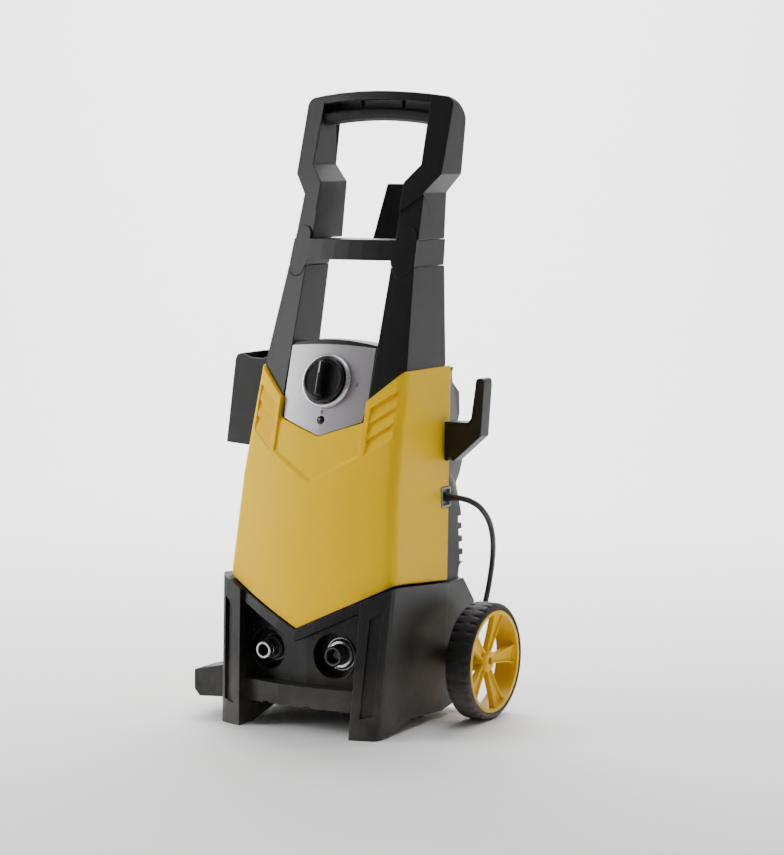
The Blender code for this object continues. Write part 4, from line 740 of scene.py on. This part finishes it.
plugWay = Vector((-0.966, -0.259, 0.0)).normalized()
plugRib = {"count": 5, "first": 0.0030, "pitch": 0.0040, "radius": 0.0062, "swell": 0.0011}
ribs = []
for index in range(plugRib["count"]):
    start = plugRib["first"] + plugRib["pitch"] * index
    swell = plugRib["radius"] + plugRib["swell"] * index
    ribs = ribs + [(swell + 0.0008, start), (swell + 0.0010, start + 0.0022), (swell, start + 0.0026),
                   (swell, start + 0.0036)]
plug = turnedPiece("plugBody", [(0.0, 0.0), (0.0068, 0.0004)] + ribs + [
    (0.0120, 0.0240), (0.0150, 0.0262), (0.0186, 0.0275), (0.0190, 0.0285), (0.0190, 0.0400),
    (0.0182, 0.0420), (0.0172, 0.0435), (0.0168, 0.0449), (0.0, 0.0449)], lead[-1], plugWay, 48)
settle(plug, "cord_rubber", bodyOf["plug_body"], ["plug_body"])

reliefLow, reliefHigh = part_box("strain_relief")
reliefMid = (reliefLow + reliefHigh) / 2
reliefRib = {"count": 4, "first": 0.0125, "pitch": 0.0032, "crest": 0.0063, "root": 0.0054}
reliefRibs = []
for index in range(reliefRib["count"]):
    start = reliefRib["first"] + reliefRib["pitch"] * index
    crest = reliefRib["crest"] - 0.0003 * index  # the relief tapers towards the cable
    root = reliefRib["root"] - 0.0002 * index
    reliefRibs = reliefRibs + [(crest, start), (crest, start + 0.0018), (root, start + 0.0020),
                               (root, start + 0.0030)]
relief = turnedPiece("strainRelief", [(0.0, 0.0), (0.0062, 0.0003), (0.0064, 0.0118)] + reliefRibs + [
    (0.0052, 0.0254), (0.0050, 0.0259), (0.0, 0.0259)],
    Vector((reliefLow.x, reliefMid.y, reliefMid.z)), (1, 0, 0), 40)
settle(relief, "cord_rubber", bodyOf["strain_relief"], ["strain_relief"])
print("cable: laid")

# light and floor
room = {"paper": (0.92, 0.92, 0.92), "paperRough": 0.8, "half": 9.0, "sweepAway": 3.4, "sweepRadius": 1.6,
        "wallHigh": 7.0, "air": 0.20, "sweepSteps": 12, "turn": 26}
lamps = {
    "softRight": {"place": (1.75, 2.2, 1.0), "target": (0.15, 0.0, 0.45), "size": (1.3, 2.4), "power": 9},
    "softLeft": {"place": (-2.4, -1.5, 1.2), "target": (0.0, 0.0, 0.40), "size": (1.2, 1.9), "power": 66},
    "softTop": {"place": (0.2, 0.6, 3.0), "target": (0.0, 0.5, 0.0), "size": (2.6, 2.6), "power": 62},
    "wallLight": {"place": (-1.5, 1.9, 3.4), "target": (-1.9, 3.9, 0.9), "size": (4.0, 1.0), "power": 400},
}
for name, lamp in lamps.items():
    bpy.ops.object.light_add(type="AREA", location=lamp["place"])
    light = bpy.context.object
    light.name = name
    light.data.shape = "RECTANGLE"
    light.data.size, light.data.size_y = lamp["size"]
    light.data.energy = lamp["power"]
    toward = Vector(lamp["target"]) - Vector(lamp["place"])
    light.rotation_euler = toward.to_track_quat("-Z", "Y").to_euler()

sweep = [(-room["half"], 0.0), (room["sweepAway"] - room["sweepRadius"], 0.0)]
for step in range(1, room["sweepSteps"] + 1):
    lean = math.radians(90 * step / room["sweepSteps"])
    sweep.append((room["sweepAway"] - room["sweepRadius"] + room["sweepRadius"] * math.sin(lean),
                  room["sweepRadius"] * (1 - math.cos(lean))))
sweep.append((room["sweepAway"], room["wallHigh"]))
floorMesh = bpy.data.meshes.new("floor")
sweepEdges = [(i, i + 1) for i in range(len(sweep) - 1)]
floorMesh.from_pydata([(-room["half"], y, z) for y, z in sweep], sweepEdges, [])
floor = bpy.data.objects.new("floor", floorMesh)
bpy.context.scene.collection.objects.link(floor)
pick(floor)
bpy.ops.object.mode_set(mode="EDIT")
bpy.ops.mesh.select_mode(type="VERT")
bpy.ops.mesh.select_all(action="SELECT")
bpy.ops.mesh.extrude_region_move(TRANSFORM_OT_translate={"value": (2 * room["half"], 0, 0)})
bpy.ops.mesh.select_all(action="SELECT")
bpy.ops.mesh.normals_make_consistent(inside=False)
bpy.ops.object.mode_set(mode="OBJECT")
floorMesh.transform(Matrix.Rotation(math.radians(room["turn"]), 4, "Z"))
bpy.ops.object.shade_smooth_by_angle(angle=math.radians(40))


def plainCover(piece, name, colour, roughness):
    cover = bpy.data.materials.new(name)
    cover.use_nodes = True
    shader = cover.node_tree.nodes["Principled BSDF"]
    shader.inputs["Base Color"].default_value = (*colour, 1.0)
    shader.inputs["Roughness"].default_value = roughness
    piece.data.materials.append(cover)


plainCover(floor, "floorPaper", room["paper"], room["paperRough"])

# dark card beyond the right edge of the main view, which tones down that side; it shows from behind
card = {"size": (2.2, 1.8), "place": (2.15, -1.35, 0.95), "turn": 120, "colour": (0.02, 0.02, 0.02),
        "rough": 1.0}
bpy.ops.mesh.primitive_plane_add(size=1.0, location=card["place"])
flag = bpy.context.object
flag.name = "blackFlag"
flag.scale = (*card["size"], 1.0)
flag.rotation_euler = (math.radians(90), 0, math.radians(card["turn"]))
bpy.ops.object.transform_apply(location=True, rotation=True, scale=True)
plainCover(flag, "flagFelt", card["colour"], card["rough"])

world = bpy.data.worlds.new("studio")
world.use_nodes = True
world.node_tree.nodes["Background"].inputs["Color"].default_value = (1.0, 1.0, 1.0, 1.0)
world.node_tree.nodes["Background"].inputs["Strength"].default_value = room["air"]
bpy.context.scene.world = world
clearSelection()
